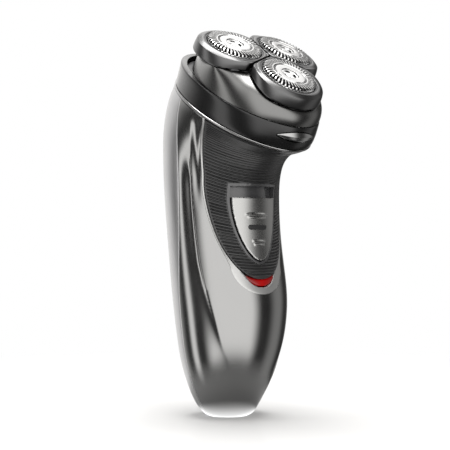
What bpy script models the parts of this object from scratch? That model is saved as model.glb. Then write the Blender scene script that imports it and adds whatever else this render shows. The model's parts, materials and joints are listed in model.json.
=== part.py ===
"""A cordless rotary shaver with three floating heads, as separate parts on real joints.

Everything is in millimetres here and is scaled to metres as each mesh is made. The origin is the
middle of the base, +Z is up, and the switch and the shaving heads face -Y. The handle's skin is a
stack of elliptical stations that start level at the base and lean forward into the collar; the
head has a frame of its own, HEAD, whose Z axis is the shaving plane's normal.
"""

import math

import bmesh
import bpy
from mathutils import Matrix, Vector

MM = 0.001
OBJECT_NAME = "rotary_shaver"
MERGE = 0.00001
GAP = 0.3

# Handle stations: front y, front z, back y, back z, half width
STATIONS = (
    (-8.0, 0.0, 7.0, 0.0, 8.0),
    (-10.4, 1.5, 9.6, 1.5, 10.6),
    (-12.8, 5.6, 13.0, 6.0, 13.6),
    (-16.4, 12.5, 15.6, 13.5, 17.2),
    (-20.0, 21.0, 17.6, 23.5, 20.4),
    (-22.8, 31.0, 19.2, 35.5, 22.5),
    (-24.1, 44.0, 21.2, 51.0, 23.9),
    (-22.6, 56.0, 23.4, 67.0, 24.1),
    (-20.2, 68.0, 25.4, 83.0, 24.1),
    (-18.6, 80.0, 26.6, 99.0, 24.4),
    (-18.4, 89.0, 26.8, 112.0, 24.7),
    (-19.8, 95.5, 26.4, 121.0, 25.0),
    (-24.0, 100.5, 25.4, 129.0, 25.0),
    (-32.0, 103.8, 23.8, 136.0, 24.8),
    (-41.5, 105.5, 21.5, 141.5, 24.4),
    (-46.2, 113.7, 17.5, 149.6, 24.8),
)
SHELL_TOP, TRIM_LOW, TRIM_HIGH, COLLAR_LOW, COLLAR_TOP = 13.81, 13.86, 13.96, 14.01, 15.0
SHELL_WALL = 2.0
COLLAR_WALL = 2.5
TRIM_DEPTH = 1.6
TRIM_PROUD = 0.25
SEAM_Y = 0.4
COLUMNS = 36

# Rubber grip: where its tip starts, where its sides stop widening, and its angles round the body
GRIP_TIP, GRIP_SHOULDER, GRIP_TOP = 6.98, 10.3, 13.74
GRIP_ANGLE, GRIP_FLARE = 51.4, 27.3
GRIP_MARGIN = 0.9

# Power switch
SWITCH_TOP, SWITCH_TIP, SWITCH_HALF = 88.0, 63.1, 10.5
SWITCH_TRAVEL = 4.0
SWITCH_SLOPE = 0.08
RECESS_MARGIN = 0.6
RECESS_FLOOR_Y = -23.46
GUIDE_MARGIN = 1.6
GUIDE_FLOOR = 1.5
TONGUE_Z, TONGUE_HALF = 77.0, 1.2
INSERT_LOW, INSERT_HIGH, INSERT_HALF = 75.4, 77.2, 4.2
INSERT_BACK_Y, POCKET_MARGIN = -18.9, 0.4

# Charge light
LIGHT_HALF, LIGHT_TOP, LIGHT_LOW = 7.0, 55.5, 53.0

# Release button on the collar
BUTTON_Z, BUTTON_HALF = 111.0, 8.8
BUTTON_PROUD = 0.9
BUTTON_DEPTH, STEM_HALF, STEM_BACK_Y = 4.2, 2.4, -39.4
SPRING_R, SPRING_WIRE, SPRING_LENGTH, SPRING_Z = 1.1, 0.2, 2.6, 110.3

# Shaving head: centre, tilt, and the circle that the three guards stand on
HEAD_CENTRE = (0.0, -27.9, 143.9)
HEAD_TILT = 35.6
GUARD_CIRCLE = 14.8
GUARD_TILT = 3.7
UNITS = (("front", 0.0), ("left", -120.0), ("right", 120.0))
GUARD_R = 11.0
PETAL_R = 15.4
PETAL_HOLE_R = 11.35
PETAL_TOP, PETAL_LOW, PETAL_SADDLE = -1.2, -6.6, -4.4
PEG_X, PEG_Y, PEG_LOW, PEG_R = 12.8, 3.0, -8.4, 0.7
CAP_R, CAP_TOP, CAP_LOW = 3.25, -0.4, -1.4
WALL_DISTANCE = 12.3
PETAL_COLUMNS = 28
HEAD_GAP = 0.8
HEAD_WALL = 1.6
LIP = 1.2
FOOT_FRONT, FOOT_BACK, FOOT_HALF = (0.0, -45.9, 114.2), (0.0, 9.3, 145.3), 23.6

# Hinge at the back of the collar
HINGE_Y, HINGE_Z = 12.0, 147.6
HINGE_PIN_R, HINGE_BORE_R, KNUCKLE_R = 1.0, 1.35, 2.0

# Drive train, below the shaving plane along its normal
SPINDLE_CIRCLE = 14.0
TOOTH_MODULE = 0.8
PINION_TEETH, GEAR_TEETH = 15, 20
GEAR_TOP, GEAR_THICK = -24.2, 3.0
SPINDLE_R, SPINDLE_TOP, SPINDLE_LOW = 1.6, -5.3, -30.3
PLATE_TOP, PLATE_THICK, PLATE_R = -28.4, 1.8, 20.4
MOTOR_R, MOTOR_TOP, MOTOR_LENGTH = 10.0, -30.6, 25.0
SCREW_CIRCLE = 18.0
DECK_TOP, DECK_THICK, DECK_REACH = -8.8, 1.8, 21.9
FRAME_TOP, FRAME_THICK = -11.0, 1.2
DECK_HOLE_R, LOCK_HOLE_R = 7.4, 3.0
DRIVE_DECK_TOP, DRIVE_DECK_THICK, DRIVE_BORE_R = -1.8, 2.0, 2.2

# Inside the handle
CELL_X, CELL_Y, CELL_R, CELL_LOW, CELL_TOP = 7.5, 7.2, 7.0, 35.5, 84.3
CELL_NUB, CELL_NUB_R = 1.2, 2.6
STRAP_HALF, STRAP_THICK = 2.0, 0.3
PIN_X, PIN_Y, PIN_R, PIN_BORE_R = 1.9, 4.4, 0.6, 0.95

HEAD = Matrix.Translation(Vector(HEAD_CENTRE) * MM) @ Matrix.Rotation(math.radians(HEAD_TILT), 4, "X")

PAINT = {
    "gunmetal": ((0.16, 0.16, 0.165), 0.22, 0.9),
    "satin_grey": ((0.34, 0.34, 0.35), 0.38, 0.8),
    "charcoal": ((0.03, 0.03, 0.032), 0.2, 0.2),
    "dark_grey": ((0.1, 0.1, 0.105), 0.35, 0.4),
    "rubber": ((0.025, 0.025, 0.027), 0.7, 0.0),
    "silver": ((0.55, 0.55, 0.56), 0.28, 0.9),
    "steel": ((0.72, 0.72, 0.73), 0.2, 1.0),
    "black": ((0.02, 0.02, 0.02), 0.45, 0.0),
    "red": ((0.6, 0.01, 0.01), 0.2, 0.0),
    "green": ((0.03, 0.2, 0.08), 0.5, 0.0),
    "white": ((0.75, 0.75, 0.72), 0.4, 0.0),
    "brass": ((0.75, 0.56, 0.25), 0.3, 1.0),
    "blue": ((0.06, 0.12, 0.3), 0.4, 0.2),
}


def clear_scene():
    for item in list(bpy.data.objects):
        bpy.data.objects.remove(item, do_unlink=True)


def new_collection(name):
    collection = bpy.data.collections.new(name)
    bpy.context.scene.collection.children.link(collection)
    return collection


def paint(item, finish):
    """A Principled material of the piece's own."""
    colour, roughness, metallic = PAINT[finish]
    material = bpy.data.materials.new(item.name + "_" + finish)
    material.use_nodes = True
    shader = material.node_tree.nodes["Principled BSDF"]
    shader.inputs["Base Color"].default_value = (*colour, 1.0)
    shader.inputs["Roughness"].default_value = roughness
    shader.inputs["Metallic"].default_value = metallic
    item.data.materials.clear()
    item.data.materials.append(material)


def place(name, data, finish=None, frame=None):
    """Add a piece to the object's collection, or a hidden cutter if it has no finish."""
    item = bpy.data.objects.new(name, data)
    if finish:
        PARTS.objects.link(item)
        paint(item, finish)
    else:
        CUTTERS.objects.link(item)
        item.hide_render = True
        item.display_type = "WIRE"
    if frame:
        item.matrix_world = frame
    return item


def smooth(mesh):
    mesh.shade_smooth()
    mesh.set_sharp_from_angle(angle=math.radians(35.0))


def mesh_from(name, points, faces, closed=True):
    """A mesh in metres from points in millimetres, with doubled points merged."""
    mesh = bpy.data.meshes.new(name)
    mesh.from_pydata([Vector(p) * MM for p in points], [], faces)
    work = bmesh.new()
    work.from_mesh(mesh)
    bmesh.ops.remove_doubles(work, verts=work.verts, dist=MERGE)
    if closed:
        bmesh.ops.recalc_face_normals(work, faces=work.faces)
    work.to_mesh(mesh)
    work.free()
    smooth(mesh)
    return mesh


def boolean(target, cutter, operation="DIFFERENCE"):
    modifier = target.modifiers.new("boolean", "BOOLEAN")
    modifier.operation = operation
    modifier.solver = "EXACT"
    modifier.object = cutter
    return target


def bevel(item, width, segments=2, angle=35.0):
    modifier = item.modifiers.new("bevel", "BEVEL")
    modifier.width = width * MM
    modifier.segments = segments
    modifier.limit_method = "ANGLE"
    modifier.angle_limit = math.radians(angle)
    return item


def grid_faces(rows, columns, wrap, start=0):
    """Quads over a grid of points, facing out where columns run to +X on a front face."""
    last = columns if wrap else columns - 1
    faces = []
    for i in range(rows - 1):
        for j in range(last):
            right = (j + 1) % columns
            low, high = start + i * columns, start + (i + 1) * columns
            faces.append((low + j, low + right, high + right, high + j))
    return faces


def sheet_mesh(name, rows, wrap):
    """An open surface from rows of points."""
    points = [p for row in rows for p in row]
    return mesh_from(name, points, grid_faces(len(rows), len(rows[0]), wrap), closed=False)


def thick_sheet(name, rows, wrap, thickness, finish):
    """A shell: an open surface thickened inwards."""
    item = place(name, sheet_mesh(name, rows, wrap), finish)
    modifier = item.modifiers.new("wall", "SOLIDIFY")
    modifier.thickness = thickness * MM
    modifier.offset = -1.0
    modifier.use_even_offset = True
    return item


def slab(name, front, back, finish=None):
    """A closed solid between a front grid and a back grid of points."""
    rows, columns = len(front), len(front[0])
    points = [p for grid in (front, back) for row in grid for p in row]
    offset = rows * columns
    faces = grid_faces(rows, columns, False)
    faces += [tuple(reversed(f)) for f in grid_faces(rows, columns, False, offset)]
    edge = list(range(columns))
    edge += [i * columns + columns - 1 for i in range(1, rows)]
    edge += [(rows - 1) * columns + j for j in range(columns - 2, -1, -1)]
    edge += [i * columns for i in range(rows - 2, 0, -1)]
    for a, b in zip(edge, edge[1:] + edge[:1]):
        faces.append((a, a + offset, b + offset, b))
    return place(name, mesh_from(name, points, faces), finish)


def block(name, low, high, finish=None, frame=None, round_by=0.0):
    """A box between two corners, with its edges rounded if asked."""
    mesh = bpy.data.meshes.new(name)
    work = bmesh.new()
    size = [h - l for l, h in zip(low, high)]
    middle = [(h + l) / 2 for l, h in zip(low, high)]
    shape = Matrix.Translation(Vector(middle) * MM) @ Matrix.Diagonal((*[s * MM for s in size], 1.0))
    bmesh.ops.create_cube(work, size=1.0, matrix=shape)
    work.to_mesh(mesh)
    work.free()
    item = place(name, mesh, finish, frame)
    if round_by:
        bevel(item, round_by)
    return item


def turned(name, profile, finish=None, frame=None, steps=24):
    """A profile of (radius, height) points, down the outer side, turned about Z."""
    mesh = bpy.data.meshes.new(name)
    points = [Vector((r, 0.0, h)) * MM for r, h in profile]
    closed = profile[0][0] > 0
    edges = [(i, i + 1) for i in range(len(points) - 1)]
    if closed:
        edges.append((len(points) - 1, 0))
    mesh.from_pydata(points, edges, [])
    item = place(name, mesh, finish, frame)
    screw = item.modifiers.new("turn", "SCREW")
    screw.angle = math.tau
    screw.steps = steps
    screw.render_steps = steps
    screw.use_merge_vertices = True
    screw.merge_threshold = MERGE
    screw.use_smooth_shade = True
    return item


def rod(name, radius, low, high, finish=None, frame=None, steps=16):
    return turned(name, ((0.0, high), (radius, high), (radius, low), (0.0, low)), finish, frame, steps)


def flat_outline(name, loops, low, high, finish=None, frame=None):
    """A flat plate from closed outlines of (x, y) points; later loops are holes."""
    curve = bpy.data.curves.new(name, "CURVE")
    curve.dimensions = "2D"
    curve.fill_mode = "BOTH"
    curve.extrude = (high - low) / 2 * MM
    for loop in loops:
        spline = curve.splines.new("POLY")
        spline.points.add(len(loop) - 1)
        for point, (x, y) in zip(spline.points, loop):
            point.co = (x * MM, y * MM, 0.0, 1.0)
        spline.use_cyclic_u = True
    where = (frame or Matrix.Identity(4)) @ Matrix.Translation((0.0, 0.0, (low + high) / 2 * MM))
    return as_mesh(name, curve, where, finish)


def as_mesh(name, curve, where, finish):
    """A curve made a closed mesh object, so that it can be cut."""
    drawn = bpy.data.objects.new(name + "_curve", curve)
    CUTTERS.objects.link(drawn)
    graph = bpy.context.evaluated_depsgraph_get()
    mesh = bpy.data.meshes.new_from_object(drawn.evaluated_get(graph))
    bpy.data.objects.remove(drawn, do_unlink=True)
    work = bmesh.new()
    work.from_mesh(mesh)
    bmesh.ops.remove_doubles(work, verts=work.verts, dist=MERGE)
    work.to_mesh(mesh)
    work.free()
    smooth(mesh)
    return place(name, mesh, finish, where)


def coil(name, radius, wire, length, turns, finish, frame):
    """A compression spring along Z from the frame's origin."""
    per_turn = 10
    curve = bpy.data.curves.new(name, "CURVE")
    curve.dimensions = "3D"
    curve.bevel_depth = wire * MM
    curve.bevel_resolution = 1
    curve.use_fill_caps = True
    spline = curve.splines.new("POLY")
    count = turns * per_turn + 1
    spline.points.add(count - 1)
    for i, point in enumerate(spline.points):
        turn = math.tau * i / per_turn
        height = length * i / (count - 1)
        point.co = (radius * math.cos(turn) * MM, radius * math.sin(turn) * MM, height * MM, 1.0)
    return as_mesh(name, curve, frame, finish)


def circle(radius, steps=24, x=0.0, y=0.0):
    turns = [math.tau * i / steps for i in range(steps)]
    return [(x + radius * math.cos(t), y + radius * math.sin(t)) for t in turns]


def smoothstep(low, high, value):
    t = min(max((value - low) / (high - low), 0.0), 1.0)
    return t * t * (3.0 - 2.0 * t)


# Handle skin


def section(s):
    """The station at s along the stack, on a smooth curve through the ones given."""
    last = len(STATIONS) - 1
    i = min(int(s), last - 1)
    t = s - i
    before, here = STATIONS[max(i - 1, 0)], STATIONS[i]
    there, after = STATIONS[i + 1], STATIONS[min(i + 2, last)]
    values = []
    for p0, p1, p2, p3 in zip(before, here, there, after):
        m1, m2 = (p2 - p0) / 2, (p3 - p1) / 2
        rise = 3 * t * t - 2 * t * t * t
        values.append(p1 + (p2 - p1) * rise + m1 * t * (1 - t) ** 2 - m2 * t * t * (1 - t))
    return values


def skin_point(s, angle, scale=1.0):
    """A point of the skin: the angle runs from the front, 0, to +X, 90 degrees."""
    front_y, front_z, back_y, back_z, half = section(s)
    turn = math.radians(angle)
    ahead, across = math.cos(turn) * scale / 2, math.sin(turn) * scale
    y = (front_y + back_y) / 2 - (back_y - front_y) * ahead
    z = (front_z + back_z) / 2 - (back_z - front_z) * ahead
    return Vector((half * across, y, z))


def inset_point(s, angle, inset):
    """A point that far inside the skin, along its normal."""
    step = 0.15
    low, high = max(s - step, 0.0), min(s + step, len(STATIONS) - 1.0)
    along = skin_point(high, angle) - skin_point(low, angle)
    around = skin_point(s, angle + 0.5) - skin_point(s, angle - 0.5)
    return skin_point(s, angle) - around.cross(along).normalized() * inset


def front_y(x, z):
    """The skin's y on the front, at x and height z."""
    low, high = 0.0, COLLAR_TOP
    for _ in range(30):
        s = (low + high) / 2
        half = section(s)[4]
        angle = math.degrees(math.asin(max(-1.0, min(1.0, x / half))))
        if skin_point(s, angle).z < z:
            low = s
        else:
            high = s
    return skin_point(s, angle).y


def spread(low, high, count):
    return [low + (high - low) * i / (count - 1) for i in range(count)]


def ring_angles():
    return [360.0 * j / COLUMNS - 180.0 for j in range(COLUMNS)]


def ring_mesh(name, sections):
    """A closed ring: sections, each a closed loop of points, placed round the axis."""
    size, count = len(sections[0]), len(sections)
    faces = []
    for j in range(count):
        here, there = j * size, (j + 1) % count * size
        for i in range(size):
            up = (i + 1) % size
            faces.append((here + i, here + up, there + up, there + i))
    return mesh_from(name, [p for section_points in sections for p in section_points], faces)


def body_ring(name, low, high, count, proud, depth, finish):
    """A band of the skin from station low to high, proud of it by one amount and deep by another."""
    stations = spread(low, high, count)
    sections = []
    for angle in ring_angles():
        outer = [inset_point(s, angle, -proud) for s in stations]
        inner = [inset_point(s, angle, depth) for s in reversed(stations)]
        sections.append(outer + inner)
    return place(name, ring_mesh(name, sections), finish)


def grip_angle(s):
    """How far round the body the grip reaches on each side at station s."""
    rise = min(max((s - GRIP_TIP) / (GRIP_SHOULDER - GRIP_TIP), 0.0), 1.0)
    flare = max((s - GRIP_SHOULDER) / 3.7, 0.0) ** 1.6
    return GRIP_ANGLE * math.sqrt(1.0 - (1.0 - rise) ** 2.2) + GRIP_FLARE * flare


def grip_rows(margin, inset, overrun=0.0):
    """Rows of points over the grip's area, closest at its round tip, widened by margin degrees."""
    count = 18
    stations = [GRIP_TIP + 0.02 + (GRIP_TOP - GRIP_TIP) * (i / (count - 1)) ** 1.5 for i in range(count)]
    rows = []
    for s in stations:
        reach = grip_angle(s) + margin
        rows.append([inset_point(s, a, inset) for a in spread(-reach, reach, 15)])
    if overrun:
        reach = grip_angle(stations[0]) + margin
        rows.insert(0, [inset_point(stations[0] - 0.06, a, inset) for a in spread(-reach, reach, 15)])
        reach = grip_angle(stations[-1]) + margin
        rows.append([inset_point(stations[-1] + overrun, a, inset) for a in spread(-reach, reach, 15)])
    return rows


def shell_cup(name, finish):
    """The handle's whole skin as a thick cup, closed at the base."""
    rows = [[skin_point(0.0, a, scale) for a in ring_angles()] for scale in (0.0, 0.55)]
    stations = [0.0, 0.45, 1.0, 1.5] + spread(2.1, SHELL_TOP, 16)
    rows += [[skin_point(s, a) for a in ring_angles()] for s in stations]
    return thick_sheet(name, rows, True, SHELL_WALL, finish)


def make_shells():
    front = shell_cup("front_shell", "gunmetal")
    rear = shell_cup("rear_shell", "satin_grey")
    far = 80.0
    boolean(front, block("behind_seam", (-far, SEAM_Y - 0.15, -far), (far, far, 200.0)))
    boolean(rear, block("before_seam", (-far, -far, -far), (far, SEAM_Y + 0.15, 200.0)))
    outer = grip_rows(GRIP_MARGIN, -3.0, 0.6)
    inner = grip_rows(GRIP_MARGIN, 5.0, 0.6)
    boolean(front, slab("grip_window", outer, inner))
    boolean(front, light_slab("light_window", 0.3, -4.0, 6.0, raise_top=1.5))
    socket = block("socket_window", (-5.3, 1.0, -3.0), (5.3, 7.8, 12.0), round_by=1.2)
    boolean(rear, socket)


def make_grip():
    grip = thick_sheet("grip_panel", grip_rows(0.0, 0.0), False, SHELL_WALL, "rubber")
    window = shield_slab("guide_window", GUIDE_MARGIN + GAP, lambda x, z: front_y(x, z) - 4.0,
                         lambda x, z: front_y(x, z) + 6.0, SWITCH_TRAVEL)
    boolean(grip, window)


def make_collar():
    body_ring("collar_trim", TRIM_LOW, TRIM_HIGH, 2, TRIM_PROUD, TRIM_DEPTH, "silver")
    collar = body_ring("neck_collar", COLLAR_LOW, COLLAR_TOP, 5, 0.0, COLLAR_WALL, "charcoal")
    rear_web = block("collar_web", (-1.8, HINGE_Y + 1.6, HINGE_Z - 1.5), (1.8, 16.4, HINGE_Z - 0.2))
    boolean(collar, rear_web, "UNION")
    boolean(collar, knuckle("collar_knuckle", -2.1, 2.1), "UNION")
    boolean(collar, button_slab("button_window", 0.35, -6.0, 8.0))


# Switch, light and button on the front


def shield_half(z, margin):
    """Half the width of the switch's shield outline at height z, widened by margin."""
    depth = (SWITCH_TOP + margin - z) / (SWITCH_TOP - SWITCH_TIP + 2 * margin)
    depth = min(max(depth, 0.0), 1.0)
    return (SWITCH_HALF + margin) * (1.0 - depth ** 1.8) ** 0.53


def shield_slab(name, margin, front, back, extra_top=0.0, finish=None, rows=12, columns=9):
    """A solid with the switch's outline; front and back give y at x and z."""
    low, high = SWITCH_TIP - margin, SWITCH_TOP + margin
    depths = [1.0 - ((rows - 1 - i) / (rows - 1)) ** 1.6 for i in range(rows)]
    heights = [high - (high - low) * (1.0 - d) * 0.995 for d in depths]
    heights[-1] = high
    if extra_top:
        heights.append(high + extra_top)
    fronts, backs = [], []
    for z in heights:
        half = shield_half(z, margin)
        xs = spread(-half, half, columns)
        fronts.append([(x, front(x, z), z) for x in xs])
        backs.append([(x, back(x, z), z) for x in xs])
    return slab(name, fronts, backs, finish)


def floor_y(x, z):
    """The recess's floor: straight along the switch's travel, round across it."""
    half = 24.0
    return RECESS_FLOOR_Y + SWITCH_SLOPE * z + half * (1.0 - math.sqrt(1.0 - (x / half) ** 2))


def make_switch():
    """The guide with its recess and slot, the slider with its tongue, and the slider's insert."""
    guide = shield_slab("switch_guide", GUIDE_MARGIN, lambda x, z: front_y(x, z) + 0.2,
                        lambda x, z: floor_y(x, z) + GUIDE_FLOOR, SWITCH_TRAVEL, "black")
    recess = shield_slab("switch_recess", RECESS_MARGIN, lambda x, z: front_y(x, z) - 6.0, floor_y,
                         SWITCH_TRAVEL)
    boolean(guide, recess)
    low, high = TONGUE_Z - TONGUE_HALF - 0.6, TONGUE_Z + TONGUE_HALF + SWITCH_TRAVEL + 0.6
    boolean(guide, block("switch_slot", (-2.6, -25.0, low), (2.6, -10.0, high)))
    slider = shield_slab("switch_slider", 0.0, lambda x, z: front_y(x, z) - 0.8,
                         lambda x, z: floor_y(x, z) - 0.35, finish="silver")
    low, high = TONGUE_Z - TONGUE_HALF, TONGUE_Z + TONGUE_HALF
    tongue = block("switch_tongue", (-1.8, -18.6, low), (1.8, -14.4, high))
    boolean(slider, tongue, "UNION")
    half = INSERT_HALF + POCKET_MARGIN
    low, high = INSERT_LOW - POCKET_MARGIN, INSERT_HIGH + POCKET_MARGIN
    boolean(slider, block("insert_pocket", (-half, -24.0, low), (half, INSERT_BACK_Y, high), round_by=0.8))
    near, far = INSERT_BACK_Y - GAP, INSERT_BACK_Y - 1.0
    block("switch_insert", (-INSERT_HALF, far, INSERT_LOW), (INSERT_HALF, near, INSERT_HIGH), "black")


def light_slab(name, margin, front, back, raise_top=0.0, finish=None):
    """The crescent under the grip's tip, between two offsets from the skin."""
    fronts, backs = [], []
    half = LIGHT_HALF + margin
    xs = spread(-half, half, 13)
    for share in (0.0, 0.5, 1.0):
        front_row, back_row = [], []
        for x in xs:
            bend = (x / LIGHT_HALF) ** 2
            low = LIGHT_LOW - margin + 2.9 * bend
            high = LIGHT_TOP + margin + 1.9 * bend + raise_top
            z = low + (high - low) * share
            front_row.append((x, front_y(x, z) + front, z))
            back_row.append((x, front_y(x, z) + back, z))
        fronts.append(front_row)
        backs.append(back_row)
    return slab(name, fronts, backs, finish)


def button_slab(name, margin, front, back, finish=None):
    """The release button's lens outline, between two offsets from the skin."""
    half = BUTTON_HALF + margin
    xs = spread(-half, half, 11)
    fronts, backs = [], []
    for share in (0.0, 0.5, 1.0):
        front_row, back_row = [], []
        for x in xs:
            bulge = 1.0 - (x / half) ** 2
            low = BUTTON_Z - (0.2 + margin) - 2.3 * bulge
            high = BUTTON_Z + (0.2 + margin) + 0.9 * bulge
            z = low + (high - low) * share
            front_row.append((x, front_y(x, BUTTON_Z) + front, z))
            back_row.append((x, front_y(0.0, BUTTON_Z) + back, z))
        fronts.append(front_row)
        backs.append(back_row)
    return slab(name, fronts, backs, finish)


def make_button():
    """The button with its stem, and the spring that pushes it out."""
    button = button_slab("release_button", 0.0, -BUTTON_PROUD, BUTTON_DEPTH, "silver")
    low, high = SPRING_Z - 1.4, SPRING_Z + 1.4
    stem = block("button_stem", (-STEM_HALF, -41.5, low), (STEM_HALF, STEM_BACK_Y, high))
    boolean(button, stem, "UNION")
    seat = Matrix.Translation(Vector((0.0, STEM_BACK_Y + 0.4, SPRING_Z)) * MM)
    seat = seat @ Matrix.Rotation(math.radians(-90.0), 4, "X")
    coil("button_spring", SPRING_R, SPRING_WIRE, SPRING_LENGTH, 3, "steel", seat)


# Head


def in_head(x, y, h):
    return (HEAD @ (Vector((x, y, h)) * MM)) / MM


def unit_frame(turn):
    """One shaving unit's frame: Z along its guard's axis, -Y outwards from the head's middle."""
    out = Matrix.Rotation(math.radians(turn), 4, "Z") @ Matrix.Translation((0.0, -GUARD_CIRCLE * MM, 0.0))
    return HEAD @ out @ Matrix.Rotation(math.radians(GUARD_TILT), 4, "X")


def petal_low(angle):
    """Height of a petal's lower edge, by the angle from its outward direction."""
    return PETAL_LOW + (PETAL_SADDLE - PETAL_LOW) * smoothstep(55.0, 105.0, abs(angle))


def petal_radius(angle, radius, draft):
    """A petal's outline: a circle cut by the two gaps to its neighbours."""
    turn = math.cos(math.radians(150.0 - abs(angle)))
    wall = (WALL_DISTANCE - draft) / turn if turn > 0.3 else radius
    return min(radius, wall)


def petal_mesh():
    """A ring of closed sections round the guard's hole."""
    sections = []
    for j in range(PETAL_COLUMNS):
        angle = 360.0 * j / PETAL_COLUMNS - 180.0
        low = petal_low(angle)
        profile = (
            (PETAL_HOLE_R, PETAL_TOP),
            (petal_radius(angle, 13.2, 0.0), PETAL_TOP),
            (petal_radius(angle, 14.9, 0.0), 0.36 * low),
            (petal_radius(angle, 15.3, 0.3), 0.66 * low),
            (petal_radius(angle, PETAL_R, 0.6), low),
            (PETAL_HOLE_R, low),
        )
        turn = math.radians(angle)
        sections.append([(r * math.sin(turn), -r * math.cos(turn), h) for r, h in profile])
    return ring_mesh("petal", sections)


def make_units():
    """For each of the three units: the petal on its pegs, the guard, its cap and the cutter."""
    petal = petal_mesh()
    guard = ((3.6, 0.0), (GUARD_R - 0.5, 0.0), (GUARD_R, -0.5), (GUARD_R, -4.4), (10.4, -4.4),
             (10.4, -1.0), (3.6, -1.0))
    cutter = ((0.0, -1.9), (4.0, -1.9), (4.4, -1.5), (9.9, -1.5), (9.9, -2.6), (3.4, -2.6),
              (3.4, -6.5), (2.7, -6.5), (2.7, -3.6), (0.0, -3.6))
    for name, turn in UNITS:
        frame = unit_frame(turn)
        holder = place(name + "_petal", petal.copy(), "dark_grey", frame)
        for side in (-1, 1):
            peg_frame = frame @ Matrix.Translation((side * PEG_X * MM, PEG_Y * MM, 0.0))
            peg = rod(f"{name}_peg_{side}", PEG_R, PEG_LOW, -3.5, frame=peg_frame, steps=8)
            boolean(holder, peg, "UNION")
        turned(name + "_guard", guard, "steel", frame, 28)
        rod(name + "_guard_cap", CAP_R, CAP_LOW, CAP_TOP, "steel", frame, 20)
        turned(name + "_cutter", cutter, "steel", frame, 20)


def around(radius, turn):
    """The point of the head's plane at that radius, turned from the outward front."""
    aim = math.radians(turn)
    return radius * math.sin(aim), -radius * math.cos(aim)


def spindle_frame(turn):
    """A spindle's frame: Z along the head's normal."""
    aim = Matrix.Rotation(math.radians(turn), 4, "Z")
    return HEAD @ aim @ Matrix.Translation((0.0, -SPINDLE_CIRCLE * MM, 0.0))


def lobe_radius(angle):
    """The three petals' joint outline, as a radius about the head's middle."""
    off = math.radians((angle + 60.0) % 120.0 - 60.0)
    side = GUARD_CIRCLE * math.sin(off)
    return GUARD_CIRCLE * math.cos(off) + math.sqrt(PETAL_R ** 2 - side ** 2)


def lobe_height(angle):
    """The petals' lower edge at the same place; each petal leans outwards."""
    off = math.radians((angle + 60.0) % 120.0 - 60.0)
    reach = lobe_radius(angle)
    ahead = reach * math.cos(off) - GUARD_CIRCLE
    around = math.degrees(math.atan2(reach * math.sin(off), ahead))
    return petal_low(around) - ahead * math.sin(math.radians(GUARD_TILT))


def wall_inset(angle):
    """How far the head base stands back under the petals: most under the two back ones."""
    return 0.9 + 2.4 * smoothstep(75.0, 125.0, abs(angle)) * (1.0 - smoothstep(140.0, 168.0, abs(angle)))


def head_wall_rows():
    """The head base's wall, from its ellipse on the collar up to the petals' edge, and over its lip."""
    front, back = Vector(FOOT_FRONT), Vector(FOOT_BACK)
    normal = Vector((0.0, -math.sin(math.radians(HEAD_TILT)), math.cos(math.radians(HEAD_TILT))))
    rows = [[] for _ in range(6)]
    for j in range(COLUMNS):
        angle = 360.0 * j / COLUMNS - 180.0
        turn = math.radians(angle)
        low = (front + back) / 2 + (front - back) / 2 * math.cos(turn)
        low.x = FOOT_HALF * math.sin(turn)
        reach, height = lobe_radius(angle) - wall_inset(angle), lobe_height(angle) - HEAD_GAP
        high = in_head(reach * math.sin(turn), -reach * math.cos(turn), height)
        middle = low + normal * (0.6 * (high - low).dot(normal))
        for i in range(5):
            t = i / 4
            rows[i].append(low * (1 - t) ** 2 + middle * 2 * t * (1 - t) + high * t * t)
        lip = reach - LIP
        rows[5].append(in_head(lip * math.sin(turn), -lip * math.cos(turn), height - 0.2))
    return rows


def hinge_frame():
    """Z runs along the hinge pin."""
    middle = Matrix.Translation((0.0, HINGE_Y * MM, HINGE_Z * MM))
    return middle @ Matrix.Rotation(math.radians(90.0), 4, "Y")


def hinge_rod(name, radius, low, high, finish=None):
    return rod(name, radius, low, high, finish, hinge_frame(), 16)


def knuckle(name, low, high):
    """A hinge knuckle: a short tube round the pin."""
    profile = ((KNUCKLE_R, high), (KNUCKLE_R, low), (HINGE_BORE_R, low), (HINGE_BORE_R, high))
    return turned(name, profile, frame=hinge_frame(), steps=16)


def make_head_base():
    base = thick_sheet("head_base", head_wall_rows(), True, HEAD_WALL, "gunmetal")
    for side in (-1, 1):
        near, far = sorted((side * 2.6, side * 6.2))
        low, high = (near + 0.3, 6.6, HINGE_Z - 0.6), (far - 0.3, HINGE_Y - 1.6, HINGE_Z + 1.0)
        boolean(base, block(f"ear_web_{side}", low, high), "UNION")
        boolean(base, knuckle(f"ear_{side}", near, far), "UNION")
    hinge_rod("hinge_pin", HINGE_PIN_R, -6.4, 6.4, "steel")


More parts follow.
